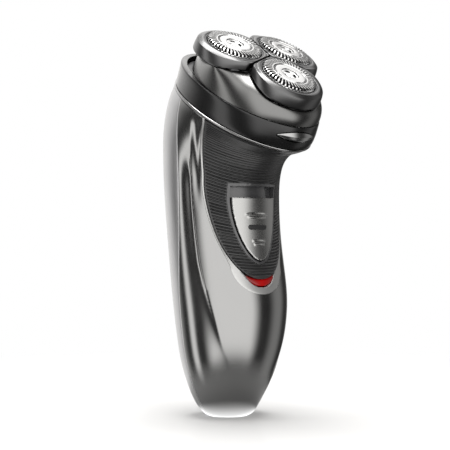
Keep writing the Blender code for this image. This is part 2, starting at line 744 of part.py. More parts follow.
def make_deck():
    """The plate that the petals rock on, with a post under each peg, and the frame that locks below it."""
    outline = []
    for j in range(48):
        angle = 360.0 * j / 48 - 180.0
        turn = math.radians(angle)
        reach = min(lobe_radius(angle) - wall_inset(angle) - LIP - 0.5, DECK_REACH)
        outline.append((reach * math.sin(turn), -reach * math.cos(turn)))
    holes = []
    for _, turn in UNITS:
        holes.append(circle(DECK_HOLE_R, 20, *around(SPINDLE_CIRCLE, turn)))
    deck = flat_outline("cutter_deck", [outline] + holes, DECK_TOP - DECK_THICK, DECK_TOP, "black", HEAD)
    boolean(deck, rod("lock_hole", LOCK_HOLE_R, -14.0, -6.0, frame=HEAD))
    low = FRAME_TOP - FRAME_THICK
    plate = flat_outline("retaining_frame", [outline] + holes, low, FRAME_TOP, "black", HEAD)
    boolean(plate, rod("frame_hole", LOCK_HOLE_R, -14.0, -6.0, frame=HEAD))
    knob = ((0.0, -7.4), (4.6, -7.4), (4.6, -8.4), (2.6, -8.4), (2.6, -12.6), (4.2, -12.6),
            (4.2, -13.8), (0.0, -13.8))
    lock = turned("frame_lock", knob, "dark_grey", HEAD, 20)
    boolean(lock, block("lock_grip", (-3.6, 0.8, -15.0), (3.6, 5.0, -13.0), frame=HEAD))
    boolean(lock, block("lock_grip_2", (-3.6, -5.0, -15.0), (3.6, -0.8, -13.0), frame=HEAD))


# Drive train


def gear_outline(teeth, phase):
    """A spur gear's outline: four points a tooth."""
    pitch_r = TOOTH_MODULE * teeth / 2
    tip, root = pitch_r + 0.62, pitch_r - 0.9
    points = []
    for k in range(teeth):
        middle = phase + math.tau * k / teeth
        for radius, share in ((root, -0.28), (tip, -0.13), (tip, 0.13), (root, 0.28)):
            angle = middle + share * math.tau / teeth
            points.append((radius * math.sin(angle), -radius * math.cos(angle)))
    return points


def make_drive():
    """Motor, plate, pinion, and for each unit a gear on its spindle."""
    low = GEAR_TOP - GEAR_THICK
    rod("motor_can", MOTOR_R, MOTOR_TOP - MOTOR_LENGTH, MOTOR_TOP, "steel", HEAD, 24)
    rod("motor_cap", 8.6, MOTOR_TOP - MOTOR_LENGTH - 2.3, MOTOR_TOP - MOTOR_LENGTH - GAP, "black", HEAD, 20)
    rod("motor_shaft", 1.0, MOTOR_TOP + GAP, GEAR_TOP + 0.8, "steel", HEAD, 12)
    pinion = [gear_outline(PINION_TEETH, 0.0), circle(1.3, 12)]
    flat_outline("pinion_gear", pinion, low, GEAR_TOP, "brass", HEAD)
    holes = [circle(2.0, 12)]
    for name, turn in UNITS:
        frame = spindle_frame(turn)
        outline = gear_outline(GEAR_TEETH, math.pi + math.pi / GEAR_TEETH)
        flat_outline(name + "_gear", [outline, circle(1.95, 12)], low, GEAR_TOP, "white", frame)
        spindle = ((0.0, SPINDLE_TOP), (1.2, SPINDLE_TOP), (1.2, SPINDLE_TOP - 1.8),
                   (SPINDLE_R, SPINDLE_TOP - 2.2), (SPINDLE_R, SPINDLE_LOW), (0.0, SPINDLE_LOW))
        turned(name + "_spindle", spindle, "steel", frame, 12)
        holes.append(circle(2.0, 12, *around(SPINDLE_CIRCLE, turn)))
    for number, turn in enumerate((60.0, 180.0, 300.0)):
        x, y = around(SCREW_CIRCLE, turn)
        holes.append(circle(1.3, 10, x, y))
        screw = ((0.0, GEAR_TOP), (0.9, GEAR_TOP), (0.9, MOTOR_TOP), (1.9, MOTOR_TOP), (1.9, -31.9),
                 (0.0, -31.9))
        frame = HEAD @ Matrix.Translation((x * MM, y * MM, 0.0))
        turned(f"plate_screw_{number + 1}", screw, "steel", frame, 10)
    low = PLATE_TOP - PLATE_THICK
    flat_outline("motor_plate", [circle(PLATE_R, 36)] + holes, low, PLATE_TOP, "white", HEAD)


def make_drive_deck():
    """The plate that closes the collar under the head, with a bore for each spindle."""
    inner = COLLAR_WALL + 0.4
    front_y, front_z, back_y, back_z, _ = STATIONS[-1]
    lean = math.atan2(back_z - front_z, back_y - front_y)
    middle = Vector((0.0, (back_y + front_y) / 2, (back_z + front_z) / 2)) * MM
    frame = Matrix.Translation(middle) @ Matrix.Rotation(lean, 4, "X")
    long_half = math.hypot(back_z - front_z, back_y - front_y) / 2 - inner - 0.5
    wide_half = section(14.6)[4] - inner
    outline = [(wide_half * x, long_half * y) for x, y in circle(1.0, 40)]
    low = DRIVE_DECK_TOP - DRIVE_DECK_THICK
    deck = flat_outline("drive_deck", [outline], low, DRIVE_DECK_TOP, "black", frame)
    for name, turn in UNITS:
        bore = rod(name + "_deck_bore", DRIVE_BORE_R, -26.0, -12.0, frame=spindle_frame(turn), steps=14)
        boolean(deck, bore)
    boolean(deck, block("button_pocket", (-9.6, -48.0, 104.0), (9.6, -39.3, 124.0)))
    boolean(deck, block("hinge_pocket", (-7.0, 10.0, 140.0), (7.0, 20.0, 152.0)))
    boolean(deck, block("spring_wall", (-3.0, -35.9, 107.5), (3.0, -34.4, 118.0)), "UNION")


# Inside the handle


def make_electrics():
    """Chassis, board, switch body, lamp, cells with their straps, and the charging socket."""
    block("chassis", (-15.5, -7.4, 24.0), (15.5, -5.6, 86.0), "white", round_by=0.5)
    block("circuit_board", (-11.0, -9.9, 42.0), (11.0, -8.3, 86.0), "green")
    block("slide_switch", (-4.5, -13.9, 74.5), (4.5, -10.2, 84.0), "steel")
    block("status_lamp", (-2.2, -14.0, 52.5), (2.2, -10.2, 56.5), "white", round_by=0.6)
    for side, name in ((-1, "left"), (1, "right")):
        middle = side * CELL_X
        frame = Matrix.Translation(Vector((middle, CELL_Y, 0.0)) * MM)
        tip = CELL_TOP + CELL_NUB
        cell = ((0.0, tip), (CELL_NUB_R, tip), (CELL_NUB_R, CELL_TOP), (CELL_R, CELL_TOP),
                (CELL_R, CELL_LOW), (0.0, CELL_LOW))
        turned(name + "_cell", cell, "blue", frame, 20)
        low = (middle - STRAP_HALF, CELL_Y - STRAP_HALF, tip + GAP)
        high = (middle + STRAP_HALF, CELL_Y + STRAP_HALF, tip + GAP + STRAP_THICK)
        block(name + "_strap", low, high, "steel")
    top, reach = CELL_LOW - GAP, CELL_X + 3.0
    low, high = (-reach, CELL_Y - STRAP_HALF, top - STRAP_THICK), (reach, CELL_Y + STRAP_HALF, top)
    block("cell_bridge", low, high, "steel")
    block("cell_cradle", (-13.0, -0.6, 30.0), (13.0, 12.5, 34.6), "black", round_by=0.8)
    make_socket()


def make_socket():
    """A two-pin inlet that opens downwards."""
    housing = block("charging_socket", (-5.0, 1.3, 0.9), (5.0, 7.5, 9.6), "black", round_by=1.0)
    mouth = block("socket_mouth", (-3.8, 2.5, -2.0), (3.8, 6.3, 6.6), round_by=1.2)
    boolean(housing, mouth)
    for side, name in ((-1, "left"), (1, "right")):
        frame = Matrix.Translation(Vector((side * PIN_X, PIN_Y, 0.0)) * MM)
        boolean(housing, rod(name + "_pin_bore", PIN_BORE_R, 6.0, 12.0, frame=frame, steps=10))
        rod(name + "_contact_pin", PIN_R, 2.4, 12.5, "brass", frame, 10)


clear_scene()
PARTS = new_collection(OBJECT_NAME)
CUTTERS = new_collection("cutters")
make_shells()
make_grip()
make_collar()
make_switch()
light_slab("light_lens", 0.0, 0.0, 2.0, finish="red")
make_button()
make_head_base()
make_deck()
make_units()
make_drive_deck()
make_drive()
make_electrics()
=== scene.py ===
"""The looks of a cordless rotary shaver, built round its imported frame.

Shapes are worked out in millimetres and become metres as each mesh is made. The handle's skin is a
smooth surface through elliptical stations; an angle on it runs from the front, 0, to +X, 90 degrees.
Each shaving unit has a frame of its own, read from its joints: Z along the cutter's axis, -Y outwards.
"""

import json
import math

import bmesh
import bpy
import numpy as np
from mathutils import Matrix, Vector


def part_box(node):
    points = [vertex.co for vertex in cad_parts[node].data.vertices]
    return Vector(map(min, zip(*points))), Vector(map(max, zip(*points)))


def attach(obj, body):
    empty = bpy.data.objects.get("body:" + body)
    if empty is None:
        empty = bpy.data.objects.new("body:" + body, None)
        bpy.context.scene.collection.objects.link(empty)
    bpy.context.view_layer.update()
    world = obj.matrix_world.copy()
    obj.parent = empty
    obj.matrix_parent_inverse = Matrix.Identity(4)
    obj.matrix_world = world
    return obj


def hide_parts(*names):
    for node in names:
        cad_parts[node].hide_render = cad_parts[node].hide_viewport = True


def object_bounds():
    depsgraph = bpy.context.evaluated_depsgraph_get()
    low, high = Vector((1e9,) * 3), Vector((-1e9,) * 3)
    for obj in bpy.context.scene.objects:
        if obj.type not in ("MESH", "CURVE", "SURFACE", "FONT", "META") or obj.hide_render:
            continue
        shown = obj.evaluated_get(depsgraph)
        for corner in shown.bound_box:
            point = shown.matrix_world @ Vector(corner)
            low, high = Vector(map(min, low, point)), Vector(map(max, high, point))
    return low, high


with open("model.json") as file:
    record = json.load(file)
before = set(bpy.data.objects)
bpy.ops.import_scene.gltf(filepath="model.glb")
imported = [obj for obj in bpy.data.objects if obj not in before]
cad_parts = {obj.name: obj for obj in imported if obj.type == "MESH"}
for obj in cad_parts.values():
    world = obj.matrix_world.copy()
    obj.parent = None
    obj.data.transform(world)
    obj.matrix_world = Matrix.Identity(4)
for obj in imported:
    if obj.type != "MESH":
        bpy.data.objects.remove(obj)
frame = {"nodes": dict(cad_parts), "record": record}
CAD_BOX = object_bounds()
JOINTS = {joint["name"]: joint for joint in frame["record"]["behaviour"]["joints"]}

MM = 0.001
MERGE = 0.000002
FAR = 99.0

# Handle stations: front y, front z, back y, back z, half width
STATIONS = np.array((
    (-8.0, 0.0, 7.0, 0.0, 8.0),
    (-10.4, 1.5, 9.6, 1.5, 10.6),
    (-12.8, 5.6, 13.0, 6.0, 13.6),
    (-16.4, 12.5, 15.6, 13.5, 17.2),
    (-20.0, 21.0, 17.6, 23.5, 20.4),
    (-22.8, 31.0, 19.2, 35.5, 22.5),
    (-24.1, 44.0, 21.2, 51.0, 23.9),
    (-22.6, 56.0, 23.4, 67.0, 24.1),
    (-20.2, 68.0, 25.4, 83.0, 24.1),
    (-18.6, 80.0, 26.6, 99.0, 24.4),
    (-18.4, 89.0, 26.8, 112.0, 24.7),
    (-19.8, 95.5, 26.4, 121.0, 25.0),
    (-24.0, 100.5, 25.4, 129.0, 25.0),
    (-32.0, 103.8, 23.8, 136.0, 24.8),
    (-41.5, 105.5, 21.5, 141.5, 24.4),
    (-46.2, 113.7, 17.5, 149.6, 24.8),
))
# Edges up the handle, as stations, and the shells' seam and walls
SHELL_TOP, TRIM_LOW, TRIM_HIGH, COLLAR_LOW, COLLAR_TOP = 13.81, 13.86, 13.96, 14.01, 15.0
SEAM_Y, SEAM_GAP = 0.4, 0.09
SHELL_WALL, COLLAR_WALL = 1.8, 2.5
EDGE_ROLL, STATION_LENGTH = 0.3, 8.0

# The grip and the bezel round it: stations, angles and depths
GRIP_TIP, GRIP_SHOULDER, GRIP_TOP = 6.98, 10.3, 13.74
GRIP_ANGLE, GRIP_FLARE = 51.4, 27.3
RIB_PITCH, RIB_DEPTH = 1.2, 0.5
GRIP_SINK, GRIP_WALL, GRIP_ARC = 0.02, 2.0, 24.0
BEZEL_TIP, BEZEL_SHOULDER, BEZEL_ANGLE = 6.47, 7.25, 31.0
MOUTH_TIP, MOUTH_SHOULDER, MOUTH_ANGLE = 6.71, 7.2, 17.8
BEZEL_DEPTH = 0.4

# The switch, its recess and frame, the light and the release button
SWITCH_TOP, SWITCH_TIP, SWITCH_HALF = 88.0, 63.1, 10.5
SWITCH_TRAVEL, SWITCH_SLOPE = 4.0, 0.08
SWITCH_PROUD, SWITCH_ROLL = 0.8, 0.55
RECESS_MARGIN, RECESS_FLOOR_Y, RECESS_RADIUS = 0.6, -23.46, 24.0
GUIDE_MARGIN, GUIDE_FLOOR, GUIDE_GAP = 1.6, 1.5, 0.12
GUIDE_PROUD, GUIDE_ROLL = 0.02, 0.25
LIGHT_HALF, LIGHT_TOP, LIGHT_LOW = 7.0, 55.5, 53.0
LIGHT_TOP_RISE, LIGHT_LOW_RISE = 1.9, 2.9
LIGHT_SINK, LIGHT_DOME, LIGHT_ROLL, LIGHT_DEPTH = 0.45, 0.55, 0.9, 2.0
BUTTON_Z, BUTTON_HALF = 111.0, 8.8

# The head: radii, angles, and heights in each unit's frame
UNITS = ("front", "left", "right")
GUARD_CIRCLE, GUARD_TILT = 14.8, 3.7
GUARD_R, PETAL_R, PETAL_HOLE_R = 11.0, 15.4, 11.35
PETAL_TOP, PETAL_LOW, PETAL_SADDLE = -1.2, -6.6, -4.4
BEZEL_EDGE, BLACK_EDGE = 12.2, 12.0
STEP_FALL, STEP_TURN, STEP_LEVEL = 5.0, 84.0, 112.0
WALL_DISTANCE = 12.3
HEAD_GAP, LIP = 0.8, 1.2
SLOTS, BLADES = 44, 15
WALL_FRONT, WALL_BACK, WALL_HALF = (0.0, -45.9, 114.2), (0.0, 9.3, 145.3), 23.6
WALL_RISE, WALL_THICKNESS = 0.8, 1.6
KNUCKLE_R, PIN_HOLE_R, KNUCKLE_HALF = 2.0, 1.35, 2.1
EAR_NEAR, EAR_FAR = 2.6, 6.2

# The crease along each side of the shell: station and angle
CREASE = np.array((
    (3.0, 26.0), (4.2, 37.0), (5.2, 47.0), (6.0, 54.5), (6.6, 58.9), (7.3, 61.9),
    (8.2, 62.8), (10.1, 64.0), (11.5, 68.8), (12.4, 76.0), (13.1, 83.4), (13.9, 90.0),
))
HOLLOW_DEPTH, SCOOP_DEPTH = 1.25, 0.25

# The bezel's face: share of the way from its outer edge to its inner one, and depth
BEZEL_FACE = (
    (0.0, 0.12), (0.1, 0.05), (0.25, 0.1), (0.5, 0.2), (0.8, 0.33), (0.95, BEZEL_DEPTH),
    (1.0, BEZEL_DEPTH + 0.15), (1.0, SHELL_WALL), (0.5, SHELL_WALL), (0.0, SHELL_WALL),
)

# The switch's thumb ridges: height, half width, proud, thickness and which way they bow
RIDGES = (
    (81.6, 5.6, 0.6, 0.62, -1.0),
    (80.1, 4.6, 0.42, 0.6, 1.0),
    (70.9, 3.2, 0.5, 0.6, -1.0),
    (69.4, 2.6, 0.42, 0.6, 1.0),
)
RIDGE_BOW = 0.008

# The lightbox's panels: azimuth, half width, lowest and highest elevation, softness and strength
SOFTBOXES = (
    (-27.0, 49.0, -36.0, 60.0, 12.0, 2.0),
    (-116.0, 8.0, -50.0, 60.0, 5.0, 2.0),
    (-190.0, 36.0, -40.0, 60.0, 18.0, 1.25),
    (75.0, 16.0, -50.0, 30.0, 12.0, 0.45),
    (114.0, 34.0, 36.0, 62.0, 8.0, 1.3),
    (0.0, 181.0, 68.0, 91.0, 5.0, 6.0),
)
FILL, BACKDROP = 0.06, 1.0  # beside the panels, and what the camera sees
PANEL_TINT = (1.0, 0.99, 0.975, 1.0)
OVERHEAD_AT, OVERHEAD_SIZE, OVERHEAD_POWER = (0.02, 0.02, 0.9), 0.5, 4.0

# The floor, in metres from the shaver's middle
FLOOR_HALF, FLOOR_DROP = 6.0, 0.00005
FLOOR_PALE, FLOOR_DULL, FLOOR_SHINE, FLOOR_ROUGH = 0.56, 0.3, 0.06, 0.06
SWEEP_NEAR, SWEEP_FAR = 0.07, 0.3
FLOOR_NEAR, FLOOR_FAR = 0.026, 0.062
BASE_NEAR, BASE_FAR, BASE_GLOW = 0.009, 0.018, 2.6

# Degrees and metres, then the lens and sensor in millimetres
CAMERA_AZIMUTH, CAMERA_DISTANCE, CAMERA_HEIGHT = -37.2, 0.52, 0.0704
CAMERA_AIM, CAMERA_PITCH = -37.08, 0.77
LENS, SENSOR = 101.74, 36.0


# Surfaces of the handle


def curvatures(values):
    """Second derivatives of the natural cubic spline through evenly spaced values."""
    count = len(values)
    system = np.eye(count)
    right = np.zeros_like(values)
    for i in range(1, count - 1):
        system[i, i - 1:i + 2] = (1.0, 4.0, 1.0)
        right[i] = 6.0 * (values[i - 1] - 2.0 * values[i] + values[i + 1])
    return np.linalg.solve(system, right)


BENDS = curvatures(STATIONS)


def section(s):
    """Front y, front z, back y, back z and half width at s, on a smooth curve through the stations."""
    s = np.asarray(s, float)
    i = np.clip(s.astype(int), 0, len(STATIONS) - 2)
    t = (s - i)[..., None]
    u = 1.0 - t
    bend = ((u ** 3 - u) * BENDS[i] + (t ** 3 - t) * BENDS[i + 1]) / 6.0
    return u * STATIONS[i] + t * STATIONS[i + 1] + bend


def skin(s, angle):
    """Points of the skin at stations s and angles in degrees."""
    row = section(s)
    turn = np.radians(angle)
    front_y, front_z, back_y, back_z, half = (row[..., k] for k in range(5))
    ahead = np.cos(turn) / 2
    y = (front_y + back_y) / 2 - (back_y - front_y) * ahead
    z = (front_z + back_z) / 2 - (back_z - front_z) * ahead
    return np.stack(np.broadcast_arrays(half * np.sin(turn), y, z), -1)


def skin_normal(s, angle):
    """Outward unit normals of the skin."""
    step = 0.02
    top = len(STATIONS) - 1.0
    along = skin(np.minimum(s + step, top), angle) - skin(np.maximum(s - step, 0.0), angle)
    around = skin(s, angle + 0.5) - skin(s, angle - 0.5)
    out = np.cross(around, along)
    return out / np.linalg.norm(out, axis=-1, keepdims=True)


def inset(s, angle, depth):
    s, angle, depth = np.broadcast_arrays(s, angle, depth)
    return skin(s, angle) - skin_normal(s, angle) * depth[..., None]


def front_y(x, z):
    """The skin's y on the front at x and height z."""
    x, z = np.broadcast_arrays(np.asarray(x, float), np.asarray(z, float))
    low, high = np.zeros(x.shape), np.full(x.shape, COLLAR_TOP)
    for _ in range(40):
        s = (low + high) / 2
        angle = np.degrees(np.arcsin(np.clip(x / section(s)[..., 4], -1.0, 1.0)))
        below = skin(s, angle)[..., 2] < z
        low, high = np.where(below, s, low), np.where(below, high, s)
    return skin(s, angle)[..., 1]


def smoothstep(low, high, value):
    t = np.clip((value - low) / (high - low), 0.0, 1.0)
    return t * t * (3.0 - 2.0 * t)


def rounded(distance, radius):
    """How far a surface falls away at a distance from its rounded edge."""
    reach = np.clip(radius - distance, 0.0, radius)
    return radius - np.sqrt(radius ** 2 - reach ** 2)


def arch_angle(s, tip, shoulder, widest, fullness):
    """Half the angle of an arch that opens upwards from its tip."""
    t = np.clip((s - tip) / (shoulder - tip), 0.0, 1.0)
    return widest * np.sqrt(1.0 - (1.0 - t) ** fullness)


def grip_angle(s):
    flare = np.maximum((s - GRIP_SHOULDER) / 3.7, 0.0) ** 1.6
    return arch_angle(s, GRIP_TIP, GRIP_SHOULDER, GRIP_ANGLE, 2.2) + GRIP_FLARE * flare


def opening_angle(s, light, margin):
    """The edge of an opening: an arch round the light that runs into the grip's outline."""
    beside_grip = grip_angle(s) + np.where(s > GRIP_TIP, margin, 0.0)
    return (light ** 8 + beside_grip ** 8) ** 0.125


def bezel_angle(s):
    return opening_angle(s, arch_angle(s, BEZEL_TIP, BEZEL_SHOULDER, BEZEL_ANGLE, 1.8), 2.2)


def mouth_angle(s):
    """The bezel's inner edge."""
    return opening_angle(s, arch_angle(s, MOUTH_TIP, MOUTH_SHOULDER, MOUTH_ANGLE, 1.9), 0.5)


def seam_angle(s, y):
    """Where the skin crosses the seam's plane."""
    row = section(s)
    middle, half_depth = (row[..., 0] + row[..., 2]) / 2, (row[..., 2] - row[..., 0]) / 2
    return np.degrees(np.arccos(np.clip((middle - y) / half_depth, -1.0, 1.0)))


def crease_angle(s):
    return np.interp(s, CREASE[:, 0], CREASE[:, 1])


def side_relief(s, angle):
    """Depth of the shell's side forms: a hollow behind the crease, and a scoop ahead of it near the top."""
    s, angle = np.broadcast_arrays(s, angle)
    crease, seam = crease_angle(s), seam_angle(s, SEAM_Y)
    behind = np.clip((angle - crease) / np.maximum(seam - crease, 8.0), 0.0, 1.0)
    hollow = HOLLOW_DEPTH * (1.0 - behind) ** 2 * (1.0 - np.exp(-behind / 0.16))
    hollow *= smoothstep(2.6, 5.6, s) * (1.0 - smoothstep(9.6, 11.6, s))
    edge = bezel_angle(s)
    ahead = np.clip((angle - edge) / np.maximum(crease - edge, 3.0), 0.0, 1.0)
    scoop = SCOOP_DEPTH * np.sin(np.pi * ahead) ** 2
    scoop *= smoothstep(8.6, 10.6, s) * (1.0 - smoothstep(13.0, 13.7, s))
    return hollow + scoop


# Meshes


def add_object(name, data):
    item = bpy.data.objects.new(name, data)
    bpy.context.scene.collection.objects.link(item)
    return item


def mesh_object(name, points, faces, where=None):
    """An object from points in millimetres, with its doubled points merged and its faces turned out."""
    mesh = bpy.data.meshes.new(name)
    mesh.from_pydata((np.asarray(points, float) * MM).tolist(), [], faces)
    work = bmesh.new()
    work.from_mesh(mesh)
    bmesh.ops.remove_doubles(work, verts=work.verts, dist=MERGE)
    loose = [v for v in work.verts if not v.link_faces]
    bmesh.ops.delete(work, geom=loose, context="VERTS")
    bmesh.ops.recalc_face_normals(work, faces=work.faces)
    work.to_mesh(mesh)
    work.free()
    if where is not None:
        mesh.transform(where)
    return shade(add_object(name, mesh))


def shade(item, angle=32.0):
    item.data.shade_smooth()
    item.data.set_sharp_from_angle(angle=math.radians(angle))
    return item


def settle(item, angle=32.0):
    """Apply the modifiers and smooth the result."""
    graph = bpy.context.evaluated_depsgraph_get()
    made = bpy.data.meshes.new_from_object(item.evaluated_get(graph))
    item.modifiers.clear()
    item.data = made
    return shade(item, angle)


def boolean(item, *cutters, operation="DIFFERENCE"):
    for cutter in cutters:
        modifier = item.modifiers.new("boolean", "BOOLEAN")
        modifier.operation = operation
        modifier.solver = "EXACT"
        modifier.object = cutter
    settle(item)
    for cutter in cutters:
        bpy.data.objects.remove(cutter, do_unlink=True)
    return item


def bevel(item, width, segments=3, angle=40.0):
    modifier = item.modifiers.new("bevel", "BEVEL")
    modifier.width = width * MM
    modifier.segments = segments
    modifier.limit_method = "ANGLE"
    modifier.angle_limit = math.radians(angle)
    return settle(item)


def wall(name, outer, inner, same=(), skip=()):
    """A closed solid between two grids of points. same joins pairs of columns in some rows, and skip
    leaves out columns of faces."""
    rows, columns = outer.shape[:2]
    ids = np.arange(rows * columns).reshape(rows, columns)
    for row, column in same:
        ids[row, column + 1] = ids[row, column]
    count = rows * columns
    faces, borders = [], {}
    for i in range(rows - 1):
        for j in range(columns - 1):
            if j in skip:
                continue
            face = (ids[i, j], ids[i, j + 1], ids[i + 1, j + 1], ids[i + 1, j])
            faces.append(tuple(int(k) for k in face))
            for a, b in zip(face, face[1:] + face[:1]):
                if a == b:
                    continue
                if (b, a) in borders:
                    del borders[(b, a)]
                else:
                    borders[(a, b)] = True
    faces = [tuple(dict.fromkeys(face)) for face in faces]
    faces = [face for face in faces if len(face) > 2]
    faces += [tuple(k + count for k in reversed(face)) for face in faces]
    faces += [(int(b), int(a), int(a) + count, int(b) + count) for a, b in borders]
    points = np.concatenate([outer.reshape(-1, 3), inner.reshape(-1, 3)])
    return mesh_object(name, points, faces)


def slab(name, x, z, front, back):
    """A closed solid between two sheets of y over the same x and z."""
    return wall(name, np.stack((x, front, z), -1), np.stack((x, back, z), -1))


def polar(radius, turn, height):
    """Points at an angle in radians from -Y towards +X."""
    return np.stack(np.broadcast_arrays(radius * np.sin(turn), -radius * np.cos(turn), height), -1)


def ring(name, sections, where=None, closed=True):
    """A ring of sections, each a closed loop of points, or a bar with capped ends if it isn't closed."""
    count, size = sections.shape[:2]
    faces = []
    for j in range(count if closed else count - 1):
        here, there = j * size, (j + 1) % count * size
        for i in range(size):
            up = (i + 1) % size
            faces.append((here + i, here + up, there + up, there + i))
    if not closed:
        faces.append(tuple(range(size)))
        faces.append(tuple(range((count - 1) * size, count * size)))
    return mesh_object(name, sections.reshape(-1, 3), faces, where)


def turned(name, profile, where=None, steps=96):
    """A closed profile of (radius, height) points turned about Z."""
    turns = np.linspace(0.0, math.tau, steps, endpoint=False)
    profile = np.asarray(profile, float)
    x = profile[None, :, 0] * np.cos(turns)[:, None]
    y = profile[None, :, 0] * np.sin(turns)[:, None]
    z = np.broadcast_to(profile[None, :, 1], x.shape)
    return ring(name, np.stack((x, y, z), -1), where)


def soft_profile(points, radius=0.12, steps=3):
    """A closed profile with its corners rounded."""
    made = []
    count = len(points)
    for i in range(count):
        before, here, after = (np.array(points[k % count], float) for k in (i - 1, i, i + 1))
        into, out = here - before, after - here
        reach = min(radius, 0.45 * np.linalg.norm(into), 0.45 * np.linalg.norm(out))
        start = here - into / np.linalg.norm(into) * reach
        end = here + out / np.linalg.norm(out) * reach
        for t in np.linspace(0.0, 1.0, steps):
            made.append((1 - t) ** 2 * start + 2 * t * (1 - t) * here + t * t * end)
    return made


def joined(name, items):
    """One object from several, which stay separate closed bodies in it."""
    work = bmesh.new()
    materials = []
    for item in items:
        copy = item.data.copy()
        for polygon in copy.polygons:
            polygon.material_index = len(materials)
        work.from_mesh(copy)
        materials += [m for m in item.data.materials] or [None]
    mesh = bpy.data.meshes.new(name)
    work.to_mesh(mesh)
    work.free()
    for item in items:
        bpy.data.objects.remove(item, do_unlink=True)
    if any(materials):
        for material in materials:
            mesh.materials.append(material)
    return shade(add_object(name, mesh))


def box_mesh(name, low, high):
    points = [[(low, high)[(k >> axis) & 1][axis] for axis in range(3)] for k in range(8)]
    faces = [(0, 2, 3, 1), (4, 5, 7, 6), (0, 1, 5, 4), (2, 6, 7, 3), (0, 4, 6, 2), (1, 3, 7, 5)]
    return mesh_object(name, points, faces)


# Materials


def feed(tree, node, inputs):
    """Set a node's inputs to values or to other nodes' outputs."""
    for socket, value in inputs.items():
        if isinstance(value, bpy.types.NodeSocket):
            tree.links.new(value, node.inputs[socket])
        else:
            node.inputs[socket].default_value = value


def add_node(tree, kind, inputs=None, **settings):
    node = tree.nodes.new("ShaderNode" + kind)
    for name, value in settings.items():
        setattr(node, name, value)
    feed(tree, node, inputs or {})
    return node


def ramp(tree, value, start, end, low=0.0, high=1.0, kind="LINEAR"):
    """A value mapped from the range start to end onto the range low to high."""
    ends = {"Value": value, "From Min": start, "From Max": end, "To Min": low, "To Max": high}
    return add_node(tree, "MapRange", ends, interpolation_type=kind).outputs["Result"]


def fade(tree, value, start, end):
    """0 at start, 1 at end, smooth between."""
    return ramp(tree, value, start, end, kind="SMOOTHSTEP")


def calculate(tree, operation, *values):
    return add_node(tree, "Math", dict(enumerate(values)), operation=operation).outputs["Value"]


def blend(tree, factor, first, second):
    """A colour between two."""
    ends = {"Factor": factor, "A": first, "B": second}
    return add_node(tree, "Mix", ends, data_type="RGBA").outputs["Result"]


def either(tree, factor, first, second):
    """A shader between two."""
    return add_node(tree, "MixShader", {0: factor, 1: first, 2: second}).outputs[0]


def tinted(colour, share, lift=0.0):
    """The colour, opaque, made lighter or darker."""
    return (*[min(c * share + lift, 1.0) for c in colour], 1.0)


def finish(name, colour, roughness, metallic=0.0, grain=900.0, relief=0.01, spread=0.05, mottle=0.06,
           coat=0.0, wear=0.0, glow=0.0):
    """A Principled material whose colour, roughness and fine relief vary with noise, and with edge wear
    or a glow that fades to both sides if asked."""
    material = bpy.data.materials.new(name)
    material.use_nodes = True
    tree = material.node_tree
    shader = tree.nodes["Principled BSDF"]
    place = add_node(tree, "TexCoord").outputs["Object"]
    fine = add_node(tree, "TexNoise", {"Vector": place, "Scale": grain, "Detail": 6.0}).outputs["Fac"]
    broad = add_node(tree, "TexNoise", {"Vector": place, "Scale": 60.0, "Detail": 3.0}).outputs["Fac"]
    shown = blend(tree, broad, tinted(colour, 1.0 - mottle), tinted(colour, 1.0 + mottle))
    if wear:
        edge = add_node(tree, "NewGeometry").outputs["Pointiness"]
        worn = ramp(tree, edge, 0.53, 0.62, 0.0, wear)
        shown = blend(tree, worn, shown, tinted(colour, 2.2, 0.03))
    bump = add_node(tree, "Bump", {"Height": fine, "Strength": 1.0, "Distance": relief * MM})
    feed(tree, shader, {
        "Base Color": shown,
        "Roughness": ramp(tree, broad, 0.3, 0.7, roughness - spread, roughness + spread),
        "Normal": bump.outputs["Normal"],
        "Metallic": metallic,
        "Coat Weight": coat,
        "Coat Roughness": 0.04,
    })
    if glow:
        x = add_node(tree, "SeparateXYZ", {"Vector": place}).outputs["X"]
        share = ramp(tree, calculate(tree, "ABSOLUTE", x), 0.0, LIGHT_HALF * MM, 1.0, 0.0)
        lit = blend(tree, share, (0.05, 0.0, 0.0, 1.0), (0.9, 0.002, 0.001, 1.0))
        feed(tree, shader, {"Emission Color": lit, "Emission Strength": glow})
    return material


GUNMETAL = finish("gunmetal", (0.27, 0.27, 0.268), 0.17, 1.0, 2500.0, 0.0006, 0.02, 0.03, coat=0.15)
SATIN = finish("satin_grey", (0.42, 0.42, 0.425), 0.33, 0.95, 3200.0, 0.0012, 0.03, 0.04, coat=0.1)
RUBBER = finish("rubber", (0.02, 0.02, 0.0205), 0.33, 0.0, 2600.0, 0.006, 0.05, 0.12, wear=0.3)
CHARCOAL = finish("charcoal", (0.024, 0.024, 0.0245), 0.24, 0.7, 2200.0, 0.0008, 0.03, 0.05, coat=0.25)
CHROME = finish("chrome", (0.32, 0.32, 0.32), 0.2, 1.0, 2000.0, 0.0006, 0.02, 0.03)
SILVER = finish("silver", (0.35, 0.35, 0.345), 0.27, 1.0, 3000.0, 0.002, 0.03, 0.04, wear=0.3)
BLACK = finish("black", (0.016, 0.016, 0.017), 0.35, 0.0, 1800.0, 0.006, 0.06, 0.1, wear=0.25)
GLOSS_BLACK = finish("gloss_black", (0.05, 0.05, 0.052), 0.22, 0.2, 1800.0, 0.001, 0.03, 0.06, coat=0.5)
DARK_CHROME = finish("dark_chrome", (0.155, 0.155, 0.153), 0.26, 1.0, 2500.0, 0.0006, 0.02, 0.03, coat=0.1)
BEZEL = finish("bezel", (0.44, 0.44, 0.435), 0.45, 1.0, 2500.0, 0.0008, 0.02, 0.03, coat=0.2)
PETAL_GREY = finish("petal_grey", (0.12, 0.12, 0.121), 0.3, 1.0, 2500.0, 0.001, 0.03, 0.05, coat=0.05,
                    wear=0.25)
